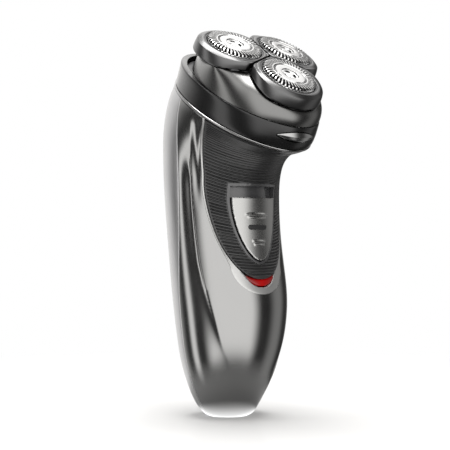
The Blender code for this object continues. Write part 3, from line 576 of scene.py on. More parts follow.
STEEL = finish("steel", (0.76, 0.76, 0.76), 0.2, 1.0, 2500.0, 0.003, 0.04, 0.05, wear=0.2)
GUARD_STEEL = finish("guard_steel", (0.66, 0.66, 0.66), 0.2, 1.0, 2500.0, 0.002, 0.05, 0.05)
BLADE_STEEL = finish("blade_steel", (0.03, 0.03, 0.03), 0.4, 1.0, 2500.0, 0.003, 0.05, 0.08)
RED = finish("red_lens", (0.1, 0.001, 0.001), 0.25, 0.0, 1500.0, 0.002, 0.02, 0.1, glow=0.3)
WHITE = finish("natural_plastic", (0.68, 0.68, 0.65), 0.42, 0.0, 1500.0, 0.01, 0.05, 0.04, wear=0.1)
ACETAL = finish("acetal", (0.76, 0.76, 0.72), 0.35, 0.0, 1500.0, 0.006, 0.05, 0.04, wear=0.1)
BRASS = finish("brass", (0.75, 0.56, 0.26), 0.25, 1.0, 2000.0, 0.003, 0.05, 0.08, wear=0.2)
BOARD = finish("board", (0.02, 0.13, 0.06), 0.4, 0.0, 1200.0, 0.01, 0.05, 0.15)
CELL = finish("cell", (0.05, 0.11, 0.28), 0.35, 0.0, 1500.0, 0.004, 0.05, 0.08, coat=0.3)


def wears(item, material):
    item.data.materials.clear()
    item.data.materials.append(material)
    return item


def stands_for(item, material, body, slot, *nodes):
    """Give a piece its material and body, and hide the nodes that it replaces."""
    if material:
        wears(item, material)
    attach(item, body)
    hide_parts(*nodes)
    return item


# Handle


def roll_columns(low, high, s, middle_count, low_roll=True):
    """Angles from low to high, in degrees, close together at both edges, and each one's distance from
    its nearer edge in millimetres."""
    speed = np.linalg.norm(skin(s, high + 0.5) - skin(s, high - 0.5), axis=-1)
    near = np.array((0.0, 0.05, 0.12, 0.22, EDGE_ROLL))
    angles, distances = [], []
    start = low
    if low_roll:
        for d in near:
            angles.append(low + d / speed)
            distances.append(np.full(s.shape, d))
        start = low + EDGE_ROLL / speed
    end = high - EDGE_ROLL / speed
    for share in np.linspace(0.0, 1.0, middle_count + 2)[1 if low_roll else 0:-1]:
        angles.append(start + (end - start) * share)
        distances.append(np.full(s.shape, 9.0))
    for d in near[::-1]:
        angles.append(high - d / speed)
        distances.append(np.full(s.shape, d))
    return np.stack(angles, -1), np.stack(distances, -1)


def shell_stations():
    """Stations up the handle, closer at the base and round the bezel's tip."""
    tip = BEZEL_TIP + 0.6 * np.linspace(0.0, 1.0, 22) ** 2
    return np.concatenate([np.linspace(0.0, 2.0, 22)[:-1], np.linspace(2.0, BEZEL_TIP, 44)[:-1], tip,
                           np.linspace(BEZEL_TIP + 0.64, SHELL_TOP - 0.05, 90),
                           [SHELL_TOP - 0.03, SHELL_TOP - 0.015, SHELL_TOP]])


def base_fan(edge, centre_y, rows=5):
    """Rows from the middle of the flat base out to its edge."""
    centre = np.array((0.0, centre_y, 0.0))
    return np.stack([centre + (edge - centre) * share for share in np.linspace(0.0, 1.0, rows + 1)[:-1]])


def shell_grids(s, angle, distance, relief, centre_y):
    """Outer and inner points of a shell and its flat base, with its free edges rolled in."""
    column = s[:, None] + 0.0 * angle
    top = rounded((SHELL_TOP - column) * STATION_LENGTH, EDGE_ROLL)
    outer = inset(column, angle, relief(column, angle) + rounded(distance, EDGE_ROLL) + top)
    inner = inset(column, angle, SHELL_WALL)
    outer = np.concatenate([base_fan(outer[0], centre_y), outer])
    under = base_fan(inner[0], centre_y)
    under[..., 2] = SHELL_WALL
    inner = np.concatenate([under, inner])
    inner[..., 2] = np.maximum(inner[..., 2], SHELL_WALL)
    return outer, inner


def mirrored(grid):
    """A grid of the right half, with its left half ahead of it."""
    return np.concatenate([grid[:, ::-1] * np.array((-1.0, 1.0, 1.0)), grid], 1)


def make_front_shell():
    s = shell_stations()
    low = np.where(s > BEZEL_TIP, bezel_angle(s), 0.0)
    angle, distance = roll_columns(low, seam_angle(s, SEAM_Y - SEAM_GAP), s, 84, False)
    outer, inner = shell_grids(s, angle, distance, side_relief, SEAM_Y - SEAM_GAP)
    middle = outer.shape[1] - 1
    closed_rows = len(outer) - len(s) + int((s <= BEZEL_TIP).sum())
    same = [(i, middle) for i in range(closed_rows)]
    shell = wall("front_shell_skin", mirrored(outer), mirrored(inner), same, (middle,))
    stands_for(shell, GUNMETAL, "handle", "front_shell", "front_shell")


def make_rear_shell():
    s = shell_stations()
    edge = seam_angle(s, SEAM_Y + SEAM_GAP)
    angle, distance = roll_columns(edge, 360.0 - edge, s, 150)
    shell = wall("rear_shell_skin", *shell_grids(s, angle, distance, lambda s, angle: 0.0, SEAM_Y + SEAM_GAP))
    window = box_mesh("socket_window", (-5.3, 1.0, -3.0), (5.3, 7.8, 12.0))
    bevel(window, 1.2)
    boolean(shell, window)
    stands_for(shell, SATIN, "handle", "rear_shell", "rear_shell")


def make_bezel():
    """The chamfer from the shell's face down to the grip and the light."""
    q = np.linspace(-1.0, 1.0, 361)
    side, reach = np.sign(q), q * q
    far = SHELL_TOP - 0.02
    s_out = BEZEL_TIP + (far - BEZEL_TIP) * reach
    s_in = MOUTH_TIP + (far - MOUTH_TIP) * reach
    a_out = side * (bezel_angle(s_out) - 0.15)
    a_in = side * mouth_angle(s_in)
    sections = []
    for share, depth in BEZEL_FACE:
        stations = s_out + (s_in - s_out) * share
        sections.append(inset(stations, a_out + (a_in - a_out) * share, depth))
    bezel = ring("grip_bezel", np.stack(sections, 1), closed=False)
    wears(bezel, BEZEL)
    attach(bezel, "handle")


def shield_half(z, margin):
    """Half the width of the switch's shield outline at height z, widened by margin."""
    depth = np.clip((SWITCH_TOP + margin - z) / (SWITCH_TOP - SWITCH_TIP + 2 * margin), 0.0, 1.0)
    return (SWITCH_HALF + margin) * (1.0 - depth ** 1.8) ** 0.53


def shield_grid(margin, extra_top, rows, columns):
    """x and z over the shield, with rows closer at its tip and columns closer at its sides."""
    low, high = SWITCH_TIP - margin, SWITCH_TOP + margin
    share = 1.0 - np.linspace(1.0, 0.0, rows) ** 1.6
    z = high - (high - low) * (1.0 - share) * 0.9995
    if extra_top:
        z = np.concatenate([z, high + extra_top * np.linspace(0.0, 1.0, 7)[1:]])
    across = np.sin(np.linspace(-1.0, 1.0, columns) * math.pi / 2)
    half = shield_half(np.minimum(z, high), margin)
    return half[:, None] * across, np.broadcast_to(z[:, None], (len(z), columns))


def shield_solid(name, margin, front, back, extra_top=0.0, rows=50, columns=41):
    x, z = shield_grid(margin, extra_top, rows, columns)
    return slab(name, x, z, front(x, z), back(x, z))


def outline_distance(x, z, margin, extra_top):
    """Distance in the XZ plane from points to the shield's outline."""
    grid_x, grid_z = shield_grid(margin, extra_top, 70, 3)
    top_x = np.linspace(-SWITCH_HALF - margin, SWITCH_HALF + margin, 30)
    top_z = np.full(30, SWITCH_TOP + margin + extra_top)
    line = [np.stack((grid_x[:, k], grid_z[:, k]), -1) for k in (0, 2)] + [np.stack((top_x, top_z), -1)]
    best = np.full(x.shape, FAR)
    for px, pz in np.concatenate(line):
        best = np.minimum(best, np.hypot(x - px, z - pz))
    return best


def make_grip():
    """The rubber panel with its ribs, which stop short of its border and of the switch's."""
    s = GRIP_TIP + 0.01 + (GRIP_TOP - GRIP_TIP - 0.01) * np.linspace(0.0, 1.0, 420) ** 1.12
    edge = np.concatenate([[0.0, 0.05, 0.12, 0.25, 0.45, 0.7, 1.0], np.linspace(1.4, GRIP_ARC, 56)])
    side = 1.0 - edge / GRIP_ARC
    across = np.concatenate([-side, side[::-1][1:]])
    reach = grip_angle(s)
    angle = reach[:, None] * across
    column = s[:, None] + 0.0 * angle
    steps = np.linalg.norm(np.diff(skin(s, 0.0 * s + 38.0), axis=0), axis=1)
    length = np.concatenate([[0.0], np.cumsum(steps)])
    points = skin(column, angle)
    width = np.linalg.norm(skin(s, reach) - skin(s, reach - 1.0), axis=1)
    border = (reach[:, None] - np.abs(angle)) * width[:, None]
    switch = outline_distance(points[..., 0], points[..., 2], GUIDE_MARGIN, SWITCH_TRAVEL)
    ends = smoothstep(0.6, 1.6, length) * smoothstep(0.5, 1.2, length[-1] - length)
    mask = smoothstep(0.7, 1.1, border) * smoothstep(0.35, 0.5, switch) * ends[:, None]
    groove = 0.5 - 0.5 * np.cos(math.tau * length / RIB_PITCH)
    depth = RIB_DEPTH * (groove ** 1.5)[:, None] * mask + rounded(border, EDGE_ROLL) + GRIP_SINK
    grip = wall("grip_ribbed", inset(column, angle, depth), inset(column, angle, GRIP_WALL))
    window = shield_solid("guide_window", GUIDE_MARGIN + GUIDE_GAP, lambda x, z: front_y(x, z) - 4.0,
                          lambda x, z: front_y(x, z) + 6.0, SWITCH_TRAVEL)
    boolean(grip, window)
    stands_for(grip, RUBBER, "handle", "grip_rubber", "grip_panel")


def floor_y(x, z):
    """The recess's floor: straight along the switch's travel, round across it."""
    across = RECESS_RADIUS * (1.0 - np.sqrt(1.0 - (x / RECESS_RADIUS) ** 2))
    return RECESS_FLOOR_Y + SWITCH_SLOPE * z + across


def make_guide():
    """The frame round the switch, with its recess."""
    def face(x, z):
        edge = outline_distance(x, z, GUIDE_MARGIN, SWITCH_TRAVEL)
        return front_y(x, z) - GUIDE_PROUD + rounded(edge, GUIDE_ROLL)
    guide = shield_solid("switch_frame", GUIDE_MARGIN, face, lambda x, z: floor_y(x, z) + GUIDE_FLOOR,
                         SWITCH_TRAVEL, 60, 61)
    recess = shield_solid("recess", RECESS_MARGIN, lambda x, z: front_y(x, z) - 6.0, floor_y, SWITCH_TRAVEL)
    boolean(guide, recess)
    stands_for(guide, GLOSS_BLACK, "handle", "guide", "switch_guide")


def make_switch():
    """The slider with its thumb ridges, and the dark insert in its pocket."""
    def face(x, z):
        y = front_y(x, z) - SWITCH_PROUD + rounded(outline_distance(x, z, 0.0, 0.0), SWITCH_ROLL)
        for height, half, proud, thickness, way in RIDGES:
            off = z - height - way * RIDGE_BOW * x * x
            crest = np.sqrt(np.clip(1.0 - (x / half) ** 2, 0.0, 1.0))
            y = y - proud * crest * np.exp(-(off / (thickness * 0.6)) ** 2)
        return y
    slider = shield_solid("switch_slider_face", 0.0, face, lambda x, z: floor_y(x, z) - 0.35, 0.0, 150, 91)
    low, high = (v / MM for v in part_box("switch_insert"))
    radius = (high.z - low.z) / 2
    outline = []
    for side in (1, -1):
        for turn in np.radians(np.linspace(-90.0, 90.0, 17)):
            x = high.x - radius + radius * math.cos(turn)
            z = radius * math.sin(turn)
            outline.append((side * x, (low.z + high.z) / 2 + side * z))
    pocket = extrude_y("pocket", outline, low.y - 3.0, high.y + 0.05, 0.3)
    boolean(slider, pocket)
    stands_for(slider, SILVER, "power_slider", "switch", "switch_slider")
    insert = extrude_y("insert_face", outline, low.y + 0.05, high.y, 0.25)
    bevel(insert, 0.2)
    stands_for(insert, BLACK, "power_slider", "guide", "switch_insert")


def extrude_y(name, outline, near, far, grow=0.0):
    """A solid from an XZ outline between two depths."""
    centre = np.mean(outline, 0)
    points = []
    for y in (near, far):
        for point in np.array(outline):
            out = point - centre
            x, z = centre + out * (1.0 + grow / np.linalg.norm(out))
            points.append((x, y, z))
    count = len(outline)
    faces = [tuple(range(count)), tuple(range(2 * count - 1, count - 1, -1))]
    for i in range(count):
        j = (i + 1) % count
        faces.append((i, i + count, j + count, j))
    return mesh_object(name, points, faces)


def make_light():
    """The crescent lens, domed across its width."""
    x = np.linspace(-LIGHT_HALF, LIGHT_HALF, 81)
    bend = (x / LIGHT_HALF) ** 2
    low, high = LIGHT_LOW + LIGHT_LOW_RISE * bend, LIGHT_TOP + LIGHT_TOP_RISE * bend
    share = np.linspace(0.0, 1.0, 17)[:, None]
    z = low + (high - low) * share
    grid_x = np.broadcast_to(x, z.shape)
    edge = np.minimum(np.minimum(share, 1.0 - share) * (high - low), LIGHT_HALF - np.abs(x))
    face = front_y(grid_x, z)
    front = face + LIGHT_SINK + rounded(edge, LIGHT_ROLL) * LIGHT_DOME
    lens = slab("light_crescent", grid_x, z, front, face + LIGHT_DEPTH)
    stands_for(lens, RED, "handle", "lens", "light_lens")


def band(low, high, depth, profile, count=240):
    """A ring of the skin: profile gives (share of the height, proud) points of its outer face."""
    angles = np.linspace(0.0, 360.0, count, endpoint=False)
    sections = []
    for share, proud in profile:
        sections.append(inset(np.full(count, low + (high - low) * share), angles, -proud))
    for share in (1.0, 0.0):
        sections.append(inset(np.full(count, low + (high - low) * share), angles, depth))
    return np.stack(sections, 1)


def make_collar():
    profile = ((0.0, -0.45), (0.01, -0.15), (0.03, -0.02), (0.06, 0.0), (0.25, 0.0), (0.5, 0.0), (0.75, 0.0),
               (0.93, 0.0), (0.97, -0.04), (0.99, -0.14), (1.0, -0.3))
    collar = ring("collar_ring", band(COLLAR_LOW, COLLAR_TOP, COLLAR_WALL, profile))
    hinge = Vector(JOINTS["head_hinge"]["pos_m"]) / MM
    web = box_mesh("web", (-1.8, hinge.y + 1.6, hinge.z - 1.5), (1.8, hinge.y + 4.4, hinge.z - 0.2))
    knuckle = turned("knuckle", knuckle_profile(-KNUCKLE_HALF, KNUCKLE_HALF), hinge_frame(), 48)
    boolean(collar, lens_solid("button_window", 0.25, -6.0, 8.0))
    whole = joined("collar_ring", [collar, web, knuckle])
    stands_for(whole, CHARCOAL, "handle", "collar", "neck_collar")
    bead = ((0.0, 0.0), (0.1, 0.16), (0.3, 0.24), (0.7, 0.24), (0.9, 0.16), (1.0, 0.0))
    trim = ring("trim_ring", band(TRIM_LOW - 0.02, TRIM_HIGH + 0.02, 1.6, bead))
    stands_for(trim, CHROME, "handle", "trim", "collar_trim")


def knuckle_profile(low, high):
    return soft_profile(((KNUCKLE_R, high), (KNUCKLE_R, low), (PIN_HOLE_R, low), (PIN_HOLE_R, high)), 0.2)


def hinge_frame():
    where = Vector(JOINTS["head_hinge"]["pos_m"])
    return Matrix.Translation(where) @ Matrix.Rotation(math.radians(90.0), 4, "Y")


def lens_grid(margin, rows, columns):
    """x and z over the release button's outline, and each row's share of the height."""
    half = BUTTON_HALF + margin
    x = half * np.sin(np.linspace(-1.0, 1.0, columns) * math.pi / 2)
    bulge = 1.0 - (x / half) ** 2
    low = BUTTON_Z - (0.2 + margin) - 2.3 * bulge
    high = BUTTON_Z + (0.2 + margin) + 0.9 * bulge
    share = np.linspace(0.0, 1.0, rows)[:, None]
    z = low + (high - low) * share
    return np.broadcast_to(x, z.shape), z, share


def lens_solid(name, margin, front, back):
    x, z = lens_grid(margin, 5, 41)[:2]
    near = front_y(x, 0.0 * z + BUTTON_Z) + front
    far = front_y(0.0 * x, 0.0 * z + BUTTON_Z) + back
    return slab(name, x, z, near, far)


def make_button():
    """The release button: a flat upper face over a bright lower facet."""
    x, z, share = lens_grid(0.0, 25, 81)
    proud = np.interp(share, (0.0, 0.06, 0.42, 0.5, 0.94, 1.0), (0.1, 0.3, 0.85, 0.9, 0.75, 0.35))
    side = smoothstep(0.0, 1.0, (BUTTON_HALF - np.abs(x)))
    near = front_y(x, 0.0 * z + BUTTON_Z) - proud * (0.3 + 0.7 * side)
    far = front_y(0.0 * x, 0.0 * z + BUTTON_Z) + 4.2
    button = slab("button_face", x, z, near, far)
    stands_for(button, CHROME, "release", "switch", "release_button")


def make_socket():
    """The two-pin inlet, with a rounded mouth."""
    low, high = (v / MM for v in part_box("charging_socket"))
    housing = box_mesh("socket_body", low, high)
    bevel(housing, 0.9)
    mouth = box_mesh("mouth", (-3.8, 2.5, -2.0), (3.8, 6.3, 6.6))
    bevel(mouth, 1.2)
    boolean(housing, mouth)
    stands_for(housing, BLACK, "handle", "inner_plastic", "charging_socket")


# Head


def joint_frame(origin, z_axis, x_axis):
    z = Vector(z_axis).normalized()
    x = Vector(x_axis)
    x = (x - z * x.dot(z)).normalized()
    y = z.cross(x)
    turn = Matrix((x, y, z)).transposed().to_4x4()
    return Matrix.Translation(Vector(origin)) @ turn


HEAD = joint_frame(JOINTS["motor_spin"]["pos_m"], JOINTS["motor_spin"]["axis"], (1.0, 0.0, 0.0))


def unit_frame(name):
    cutter, tilt = JOINTS[name + "_cutter_spin"], JOINTS[name + "_tilt"]
    return joint_frame(cutter["pos_m"], cutter["axis"], tilt["axis"])


def petal_low(angle):
    return PETAL_LOW + (PETAL_SADDLE - PETAL_LOW) * smoothstep(55.0, 105.0, np.abs(angle))


def petal_radius(angle, radius, setback):
    """A petal's outline: a circle cut by the two gaps to its neighbours, with the corners eased."""
    turn = np.cos(np.radians(150.0 - np.abs(angle)))
    gap = np.where(turn > 0.3, (WALL_DISTANCE - setback) / np.maximum(turn, 0.3), FAR)
    return (radius ** -90.0 + gap ** -90.0) ** (-1.0 / 90.0)


def bore_radius(angle, radius):
    """A circle that stays inside both gaps."""
    return np.minimum(petal_radius(angle, FAR, 0.0), radius)


def step_height(angle, share):
    """Heights round the chamfered band, which runs level where two petals meet."""
    height = petal_low(angle) * share
    if share < 0.8:
        level = PETAL_TOP - 0.1 - STEP_FALL * (share - 0.3) ** 1.5
        height = height + (level - height) * smoothstep(STEP_TURN, STEP_LEVEL, np.abs(angle))
    return height


def make_petal(name):
    """The housing round one guard: a black bezel, a chamfered band and a side that flares to its edge."""
    angles = np.linspace(-180.0, 180.0, 216, endpoint=False)
    turn = np.radians(angles)
    # the bore and the bezel round it: radius and height
    bore = (
        (PETAL_HOLE_R, -3.2), (PETAL_HOLE_R, PETAL_TOP - 0.35), (PETAL_HOLE_R + 0.1, PETAL_TOP - 0.25),
        (11.95, PETAL_TOP - 0.25), (12.05, PETAL_TOP - 0.05), (12.15, PETAL_TOP), (12.6, PETAL_TOP),
        (13.1, PETAL_TOP - 0.05), (13.4, PETAL_TOP - 0.2),
    )
    # the band and the side: radius, setback from the gap, and share of the way down
    side = (
        (14.4, 0.0, 0.3), (14.75, 0.0, 0.34), (14.9, 0.0, 0.4), (15.05, 0.1, 0.5), (15.2, 0.2, 0.62),
        (15.3, 0.3, 0.76), (15.36, 0.45, 0.9), (15.38, 0.5, 0.97), (15.3, 0.55, 0.995), (15.1, 0.6, 1.0),
    )
    rings = []
    for radius, height in bore:
        edge = petal_radius(angles, radius, 0.0) if radius > BEZEL_EDGE else bore_radius(angles, radius)
        rings.append((edge, height))
    for radius, setback, share in side:
        rings.append((petal_radius(angles, radius, setback), step_height(angles, share)))
    rings.append((bore_radius(angles, PETAL_HOLE_R), step_height(angles, 1.0)))
    sections = [polar(radius, turn, height) for radius, height in rings]
    petal = ring(name + "_petal_body", np.stack(sections, 1), unit_frame(name))
    petal.data.materials.append(PETAL_GREY)
    petal.data.materials.append(BLACK)
    back = unit_frame(name).inverted()
    for polygon in petal.data.polygons:
        centre = (back @ polygon.center) / MM
        polygon.material_index = int(math.hypot(centre.x, centre.y) < BLACK_EDGE)
    stands_for(petal, None, name + "_holder", "petal", name + "_petal")


def bars(name, profile, count, near_half, far_half, swirl, where):
    """Radial bars about Z from an (r, h) loop, whose width and turn grow outwards."""
    profile = np.asarray(profile, float)
    radius, height = profile[:, 0], profile[:, 1]
    share = (radius - radius.min()) / (radius.max() - radius.min())
    half = near_half + (far_half - near_half) * share
    points, faces = [], []
    size = len(profile)
    for k in range(count):
        turn = math.tau * k / count + swirl * share
        start = len(points)
        points += polar(radius, turn - half / radius, height).tolist()
        points += polar(radius, turn + half / radius, height).tolist()
        faces.append(tuple(start + i for i in range(size)))
        faces.append(tuple(start + size + i for i in range(size - 1, -1, -1)))
        for i in range(size):
            j = (i + 1) % size
            faces.append((start + i, start + i + size, start + j + size, start + j))
    return mesh_object(name, points, faces, where)


def make_guard(name):
    """The slotted guard: radial teeth over its rim, a groove with painted shade, and a smooth inner ring."""
    where = unit_frame(name)
    tooth = ((7.3, -0.02), (9.6, 0.0), (10.3, -0.06), (10.75, -0.3), (11.0, -0.75), (11.0, -1.55),
             (10.5, -1.55), (10.45, -0.95), (10.1, -0.5), (7.3, -0.5))
    teeth = bars(name + "_teeth", tooth, SLOTS, 0.17, 0.27, 0.12, where)
    rim = ((10.4, -1.35), (GUARD_R, -1.35), (GUARD_R, -4.4), (10.4, -4.4))
    skirt = turned(name + "_skirt", soft_profile(rim), where)
    face = ((3.6, 0.0), (6.15, 0.0), (6.3, -0.55), (7.0, -0.55), (7.15, -0.02), (7.6, -0.02), (7.6, -0.75),
            (4.1, -0.75), (3.6, -0.35))
    inner_ring = turned(name + "_ring", soft_profile(face, 0.1), where)
    # Painted shade: a black ring inside the groove stands for the dark gap down to the cutter.
    groove = turned(name + "_groove_painted_shade", ((6.2, -0.42), (7.1, -0.42), (7.1, -0.5), (6.2, -0.5)), where)
    for item in (teeth, skirt, inner_ring):
        wears(item, GUARD_STEEL)
    wears(groove, BLACK)
    guard = joined(name + "_guard_slotted", [teeth, skirt, inner_ring, groove])
    stands_for(guard, None, name + "_blade_guard", "guard_steel", name + "_guard")


def make_cap(name):
    """The guard's centre: a ring on three spokes over a recess whose shade is painted as a black disc."""
    where = unit_frame(name)
    rim = ((2.7, -0.42), (3.5, -0.36), (3.6, -0.9), (2.7, -1.0))
    cap_ring = turned(name + "_cap_ring", soft_profile(rim), where, 64)
    middle = ((0.02, -0.55), (1.5, -0.6), (1.75, -0.9), (0.02, -0.95))
    hub = turned(name + "_hub", soft_profile(middle), where, 32)
    spoke = ((0.8, -0.55), (2.9, -0.5), (2.9, -0.9), (0.8, -0.9))
    spokes = bars(name + "_spokes", spoke, 3, 0.6, 1.1, 0.0, where)
    # Painted shade: a black disc under the spokes stands for the dark recess beneath them.
    painted_shade_well = turned(name + "_well", ((0.02, -1.15), (3.3, -1.15), (3.3, -1.38), (0.02, -1.38)), where, 48)
    for item in (cap_ring, hub, spokes):
        wears(item, STEEL)
    wears(painted_shade_well, BLACK)
    cap = joined(name + "_cap_spoked", [cap_ring, hub, spokes, painted_shade_well])
    stands_for(cap, None, name + "_blade_guard", "guard_steel", name + "_guard_cap")


def make_cutter(name):
    """The cutter: a carrier with slanted blades standing up to the guard."""
    where = unit_frame(name)
    cup = ((0.3, -2.3), (9.6, -2.3), (9.6, -2.8), (3.4, -3.0), (3.4, -6.4), (2.7, -6.4), (2.7, -3.5),
           (0.3, -3.5))
    carrier = turned(name + "_carrier", soft_profile(cup, 0.1), where, 64)
    blade = ((7.4, -1.1), (9.8, -1.1), (9.8, -2.5), (7.4, -2.5))
    blades = bars(name + "_blades", blade, BLADES, 0.35, 0.45, 0.16, where)
    cutter = joined(name + "_cutter_bladed", [carrier, blades])
    stands_for(cutter, BLADE_STEEL, name + "_rotor_blade", "blade_steel", name + "_cutter")


def lobe(angle):
    """Radius and height of the petals' joint lower outline about the head's middle."""
    off = np.radians((angle + 60.0) % 120.0 - 60.0)
    reach = GUARD_CIRCLE * np.cos(off) + np.sqrt(PETAL_R ** 2 - (GUARD_CIRCLE * np.sin(off)) ** 2)
    ahead = reach * np.cos(off) - GUARD_CIRCLE
    around = np.degrees(np.arctan2(reach * np.sin(off), ahead))
    return reach, petal_low(around) - ahead * math.sin(math.radians(GUARD_TILT))


def wall_inset(angle):
    turn = np.abs(angle)
    return 0.9 + 2.4 * smoothstep(75.0, 125.0, turn) * (1.0 - smoothstep(140.0, 168.0, turn))


def in_head(points):
    """The head's own points in the shared frame."""
    matrix = np.array(HEAD)
    return (points * MM @ matrix[:3, :3].T + matrix[:3, 3]) / MM


def ease(values, spread=5):
    """Values round a ring with their sharp turns softened."""
    weights = np.exp(-np.linspace(-2.0, 2.0, 4 * spread + 1) ** 2)
    total = sum(w * np.roll(values, k - 2 * spread) for k, w in enumerate(weights))
    return total / weights.sum()


def make_ear(side):
    """A knuckle on the hinge pin and the web that carries it."""
    hinge = Vector(JOINTS["head_hinge"]["pos_m"]) / MM
    near, far = sorted((side * EAR_NEAR, side * EAR_FAR))
    low, high = (near + 0.3, 6.6, hinge.z - 0.6), (far - 0.3, hinge.y - 1.6, hinge.z + 1.0)
    web = bevel(box_mesh(f"ear_web_{side}", low, high), 0.2)
    return [web, turned(f"ear_{side}", knuckle_profile(near, far), hinge_frame(), 48)]


def make_head_base():
    """The wall from the collar up to the petals' edge, with its ears on the hinge."""
    front, back = np.array(WALL_FRONT), np.array(WALL_BACK)
    centre = (front + back) / 2
    angles = np.linspace(-180.0, 180.0, 240, endpoint=False)
    turn = np.radians(angles)
    low = centre + (front - back) / 2 * np.cos(turn)[:, None]
    low[:, 0] = WALL_HALF * np.sin(turn)
    reach, height = lobe(angles)
    reach, height = ease(reach - wall_inset(angles)), ease(height - HEAD_GAP)
    high = in_head(polar(reach, turn, height))
    normal = np.array(HEAD)[:3, 2]
    middle = low + normal * (WALL_RISE * ((high - low) @ normal))[:, None]
    sections = []
    for t in np.concatenate([[0.0, 0.01, 0.03], np.linspace(0.06, 0.96, 22), [0.985, 1.0]]):
        sections.append(low * (1 - t) ** 2 + middle * 2 * t * (1 - t) + high * t * t)
    outer = list(sections)
    for shift, drop in ((0.12, -0.02), (0.3, 0.02), (LIP, 0.1), (LIP, 0.7), (1.6, 1.2)):
        outer.append(in_head(polar(reach - shift, turn, height - drop)))
    for points in sections[::-1][2:-1:3] + [sections[0]]:
        inward = centre - points
        inward = inward - normal * (inward @ normal)[:, None]
        inward = inward / np.linalg.norm(inward, axis=1, keepdims=True)
        outer.append(points + inward * WALL_THICKNESS)
    pieces = [ring("head_wall", np.stack(outer, 1))]
    for side in (-1, 1):
        pieces += make_ear(side)
    whole = joined("head_wall", pieces)
    stands_for(whole, DARK_CHROME, "head", "head_base", "head_base")


# The nodes that stay as they are


KEPT = {
    BLACK: ["cutter_deck", "retaining_frame", "drive_deck", "cell_cradle", "motor_cap"],
    PETAL_GREY: ["frame_lock"],
    WHITE: ["chassis", "motor_plate", "status_lamp"],
    ACETAL: [name + "_gear" for name in UNITS],
    BOARD: ["circuit_board"],
    CELL: ["left_cell", "right_cell"],
    BRASS: ["pinion_gear", "left_contact_pin", "right_contact_pin"],
    STEEL: ["slide_switch", "left_strap", "right_strap", "cell_bridge", "motor_can", "motor_shaft",
            "hinge_pin", "button_spring"]
    + [f"plate_screw_{k}" for k in (1, 2, 3)] + [name + "_spindle" for name in UNITS],
}


def finish_nodes():
    for material, names in KEPT.items():
        for name in names:
            node = frame["nodes"][name]
            if not node.material_slots:
                node.data.materials.append(material)
            for slot in node.material_slots:
                slot.material = material


# Studio


def make_world():
    """A lightbox: the camera sees it plain white, and the shaver is lit by soft panels in it."""
    world = bpy.data.worlds.new("studio")
    bpy.context.scene.world = world
    world.use_nodes = True
    tree = world.node_tree
    tree.nodes.clear()

    place = add_node(tree, "TexCoord").outputs["Generated"]
    axes = add_node(tree, "SeparateXYZ", {"Vector": place}).outputs
    ahead = calculate(tree, "MULTIPLY", axes["Y"], -1.0)
    azimuth = calculate(tree, "DEGREES", calculate(tree, "ARCTAN2", axes["X"], ahead))
    elevation = calculate(tree, "DEGREES", calculate(tree, "ARCSINE", axes["Z"]))
    total = FILL
    for centre, half, low, high, soft, strength in SOFTBOXES:
        off = calculate(tree, "WRAP", calculate(tree, "SUBTRACT", azimuth, centre), 180.0, -180.0)
        inside = fade(tree, calculate(tree, "ABSOLUTE", off), half + soft, half - soft)
        above = fade(tree, elevation, low - soft, low + soft)
        below = fade(tree, elevation, high + soft, high - soft)
        panel = calculate(tree, "MULTIPLY", calculate(tree, "MULTIPLY", inside, above), below)
        total = calculate(tree, "ADD", calculate(tree, "MULTIPLY", panel, strength), total)
    lit = add_node(tree, "Background", {"Color": PANEL_TINT, "Strength": total}).outputs[0]
    plain = add_node(tree, "Background", {"Color": (1.0, 1.0, 1.0, 1.0), "Strength": BACKDROP}).outputs[0]
    seen = add_node(tree, "LightPath").outputs["Is Camera Ray"]
    add_node(tree, "OutputWorld", {"Surface": either(tree, seen, lit, plain)})


def make_overhead():
    """A large soft light high above the shaver."""
    light = bpy.data.lights.new("overhead", "AREA")
    light.shape = "DISK"
    light.size = OVERHEAD_SIZE
    light.energy = OVERHEAD_POWER
    item = add_object("overhead", light)
    item.location = OVERHEAD_AT
    item.rotation_euler = (-Vector(OVERHEAD_AT)).to_track_quat("-Z", "Y").to_euler()


def grey(value):
    return (value, value, value, 1.0)


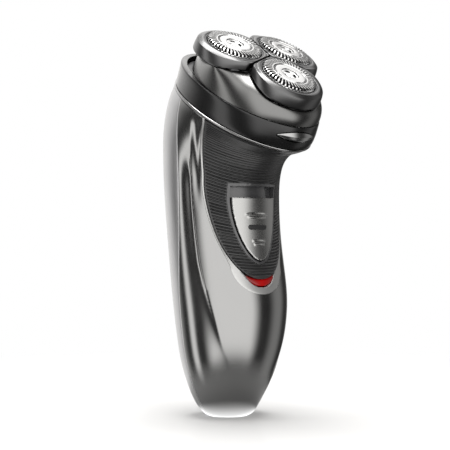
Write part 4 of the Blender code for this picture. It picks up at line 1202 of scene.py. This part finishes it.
def floor_material():
    """To the camera, pale with a faint reflection and fading into the backdrop. To the shaver, lit close
    to its base and falling off into the dark studio."""
    material = bpy.data.materials.new("floor")
    material.use_nodes = True
    tree = material.node_tree
    tree.nodes.clear()
    place = add_node(tree, "TexCoord").outputs["Object"]
    distance = add_node(tree, "VectorMath", {0: place}, operation="LENGTH").outputs["Value"]
    pale = add_node(tree, "BsdfDiffuse", {"Color": grey(FLOOR_PALE)}).outputs[0]
    gloss = add_node(tree, "BsdfAnisotropic", {"Roughness": FLOOR_ROUGH}).outputs[0]
    backdrop = add_node(tree, "Emission").outputs[0]
    shown = either(tree, FLOOR_SHINE, pale, gloss)
    shown = either(tree, fade(tree, distance, SWEEP_NEAR, SWEEP_FAR), shown, backdrop)
    strength = calculate(tree, "MULTIPLY", fade(tree, distance, BASE_FAR, BASE_NEAR), BASE_GLOW)
    glow = add_node(tree, "Emission", {"Strength": strength}).outputs[0]
    dull = add_node(tree, "BsdfDiffuse", {"Color": grey(FLOOR_DULL)}).outputs[0]
    close = add_node(tree, "AddShader", {0: glow, 1: dull}).outputs[0]
    studio = add_node(tree, "BsdfTransparent").outputs[0]
    reflected = either(tree, fade(tree, distance, FLOOR_NEAR, FLOOR_FAR), close, studio)
    seen = add_node(tree, "LightPath").outputs["Is Camera Ray"]
    add_node(tree, "OutputMaterial", {"Surface": either(tree, seen, reflected, shown)})
    return material


def make_floor():
    mesh = bpy.data.meshes.new("floor")
    work = bmesh.new()
    bmesh.ops.create_grid(work, x_segments=8, y_segments=8, size=FLOOR_HALF)
    work.to_mesh(mesh)
    work.free()
    mesh.materials.append(floor_material())
    floor = add_object("floor", mesh)
    floor.location = (0.0, 0.0, CAD_BOX[0].z - FLOOR_DROP)


def make_camera():
    data = bpy.data.cameras.new("camera")
    data.lens, data.sensor_width = LENS, SENSOR
    data.clip_start, data.clip_end = 0.01, 50.0
    camera = add_object("camera", data)
    turn = math.radians(CAMERA_AZIMUTH)
    camera.location = (math.sin(turn) * CAMERA_DISTANCE, -math.cos(turn) * CAMERA_DISTANCE, CAMERA_HEIGHT)
    camera.rotation_euler = (math.radians(90.0 + CAMERA_PITCH), 0.0, math.radians(CAMERA_AIM))
    bpy.context.scene.camera = camera


make_camera()
make_world()
make_overhead()
make_floor()
make_front_shell()
make_rear_shell()
make_bezel()
make_grip()
make_guide()
make_switch()
make_light()
make_collar()
make_button()
make_socket()
make_head_base()
for unit in UNITS:
    make_petal(unit)
    make_guard(unit)
    make_cap(unit)
    make_cutter(unit)
finish_nodes()
bpy.context.scene.view_settings.view_transform = "Standard"
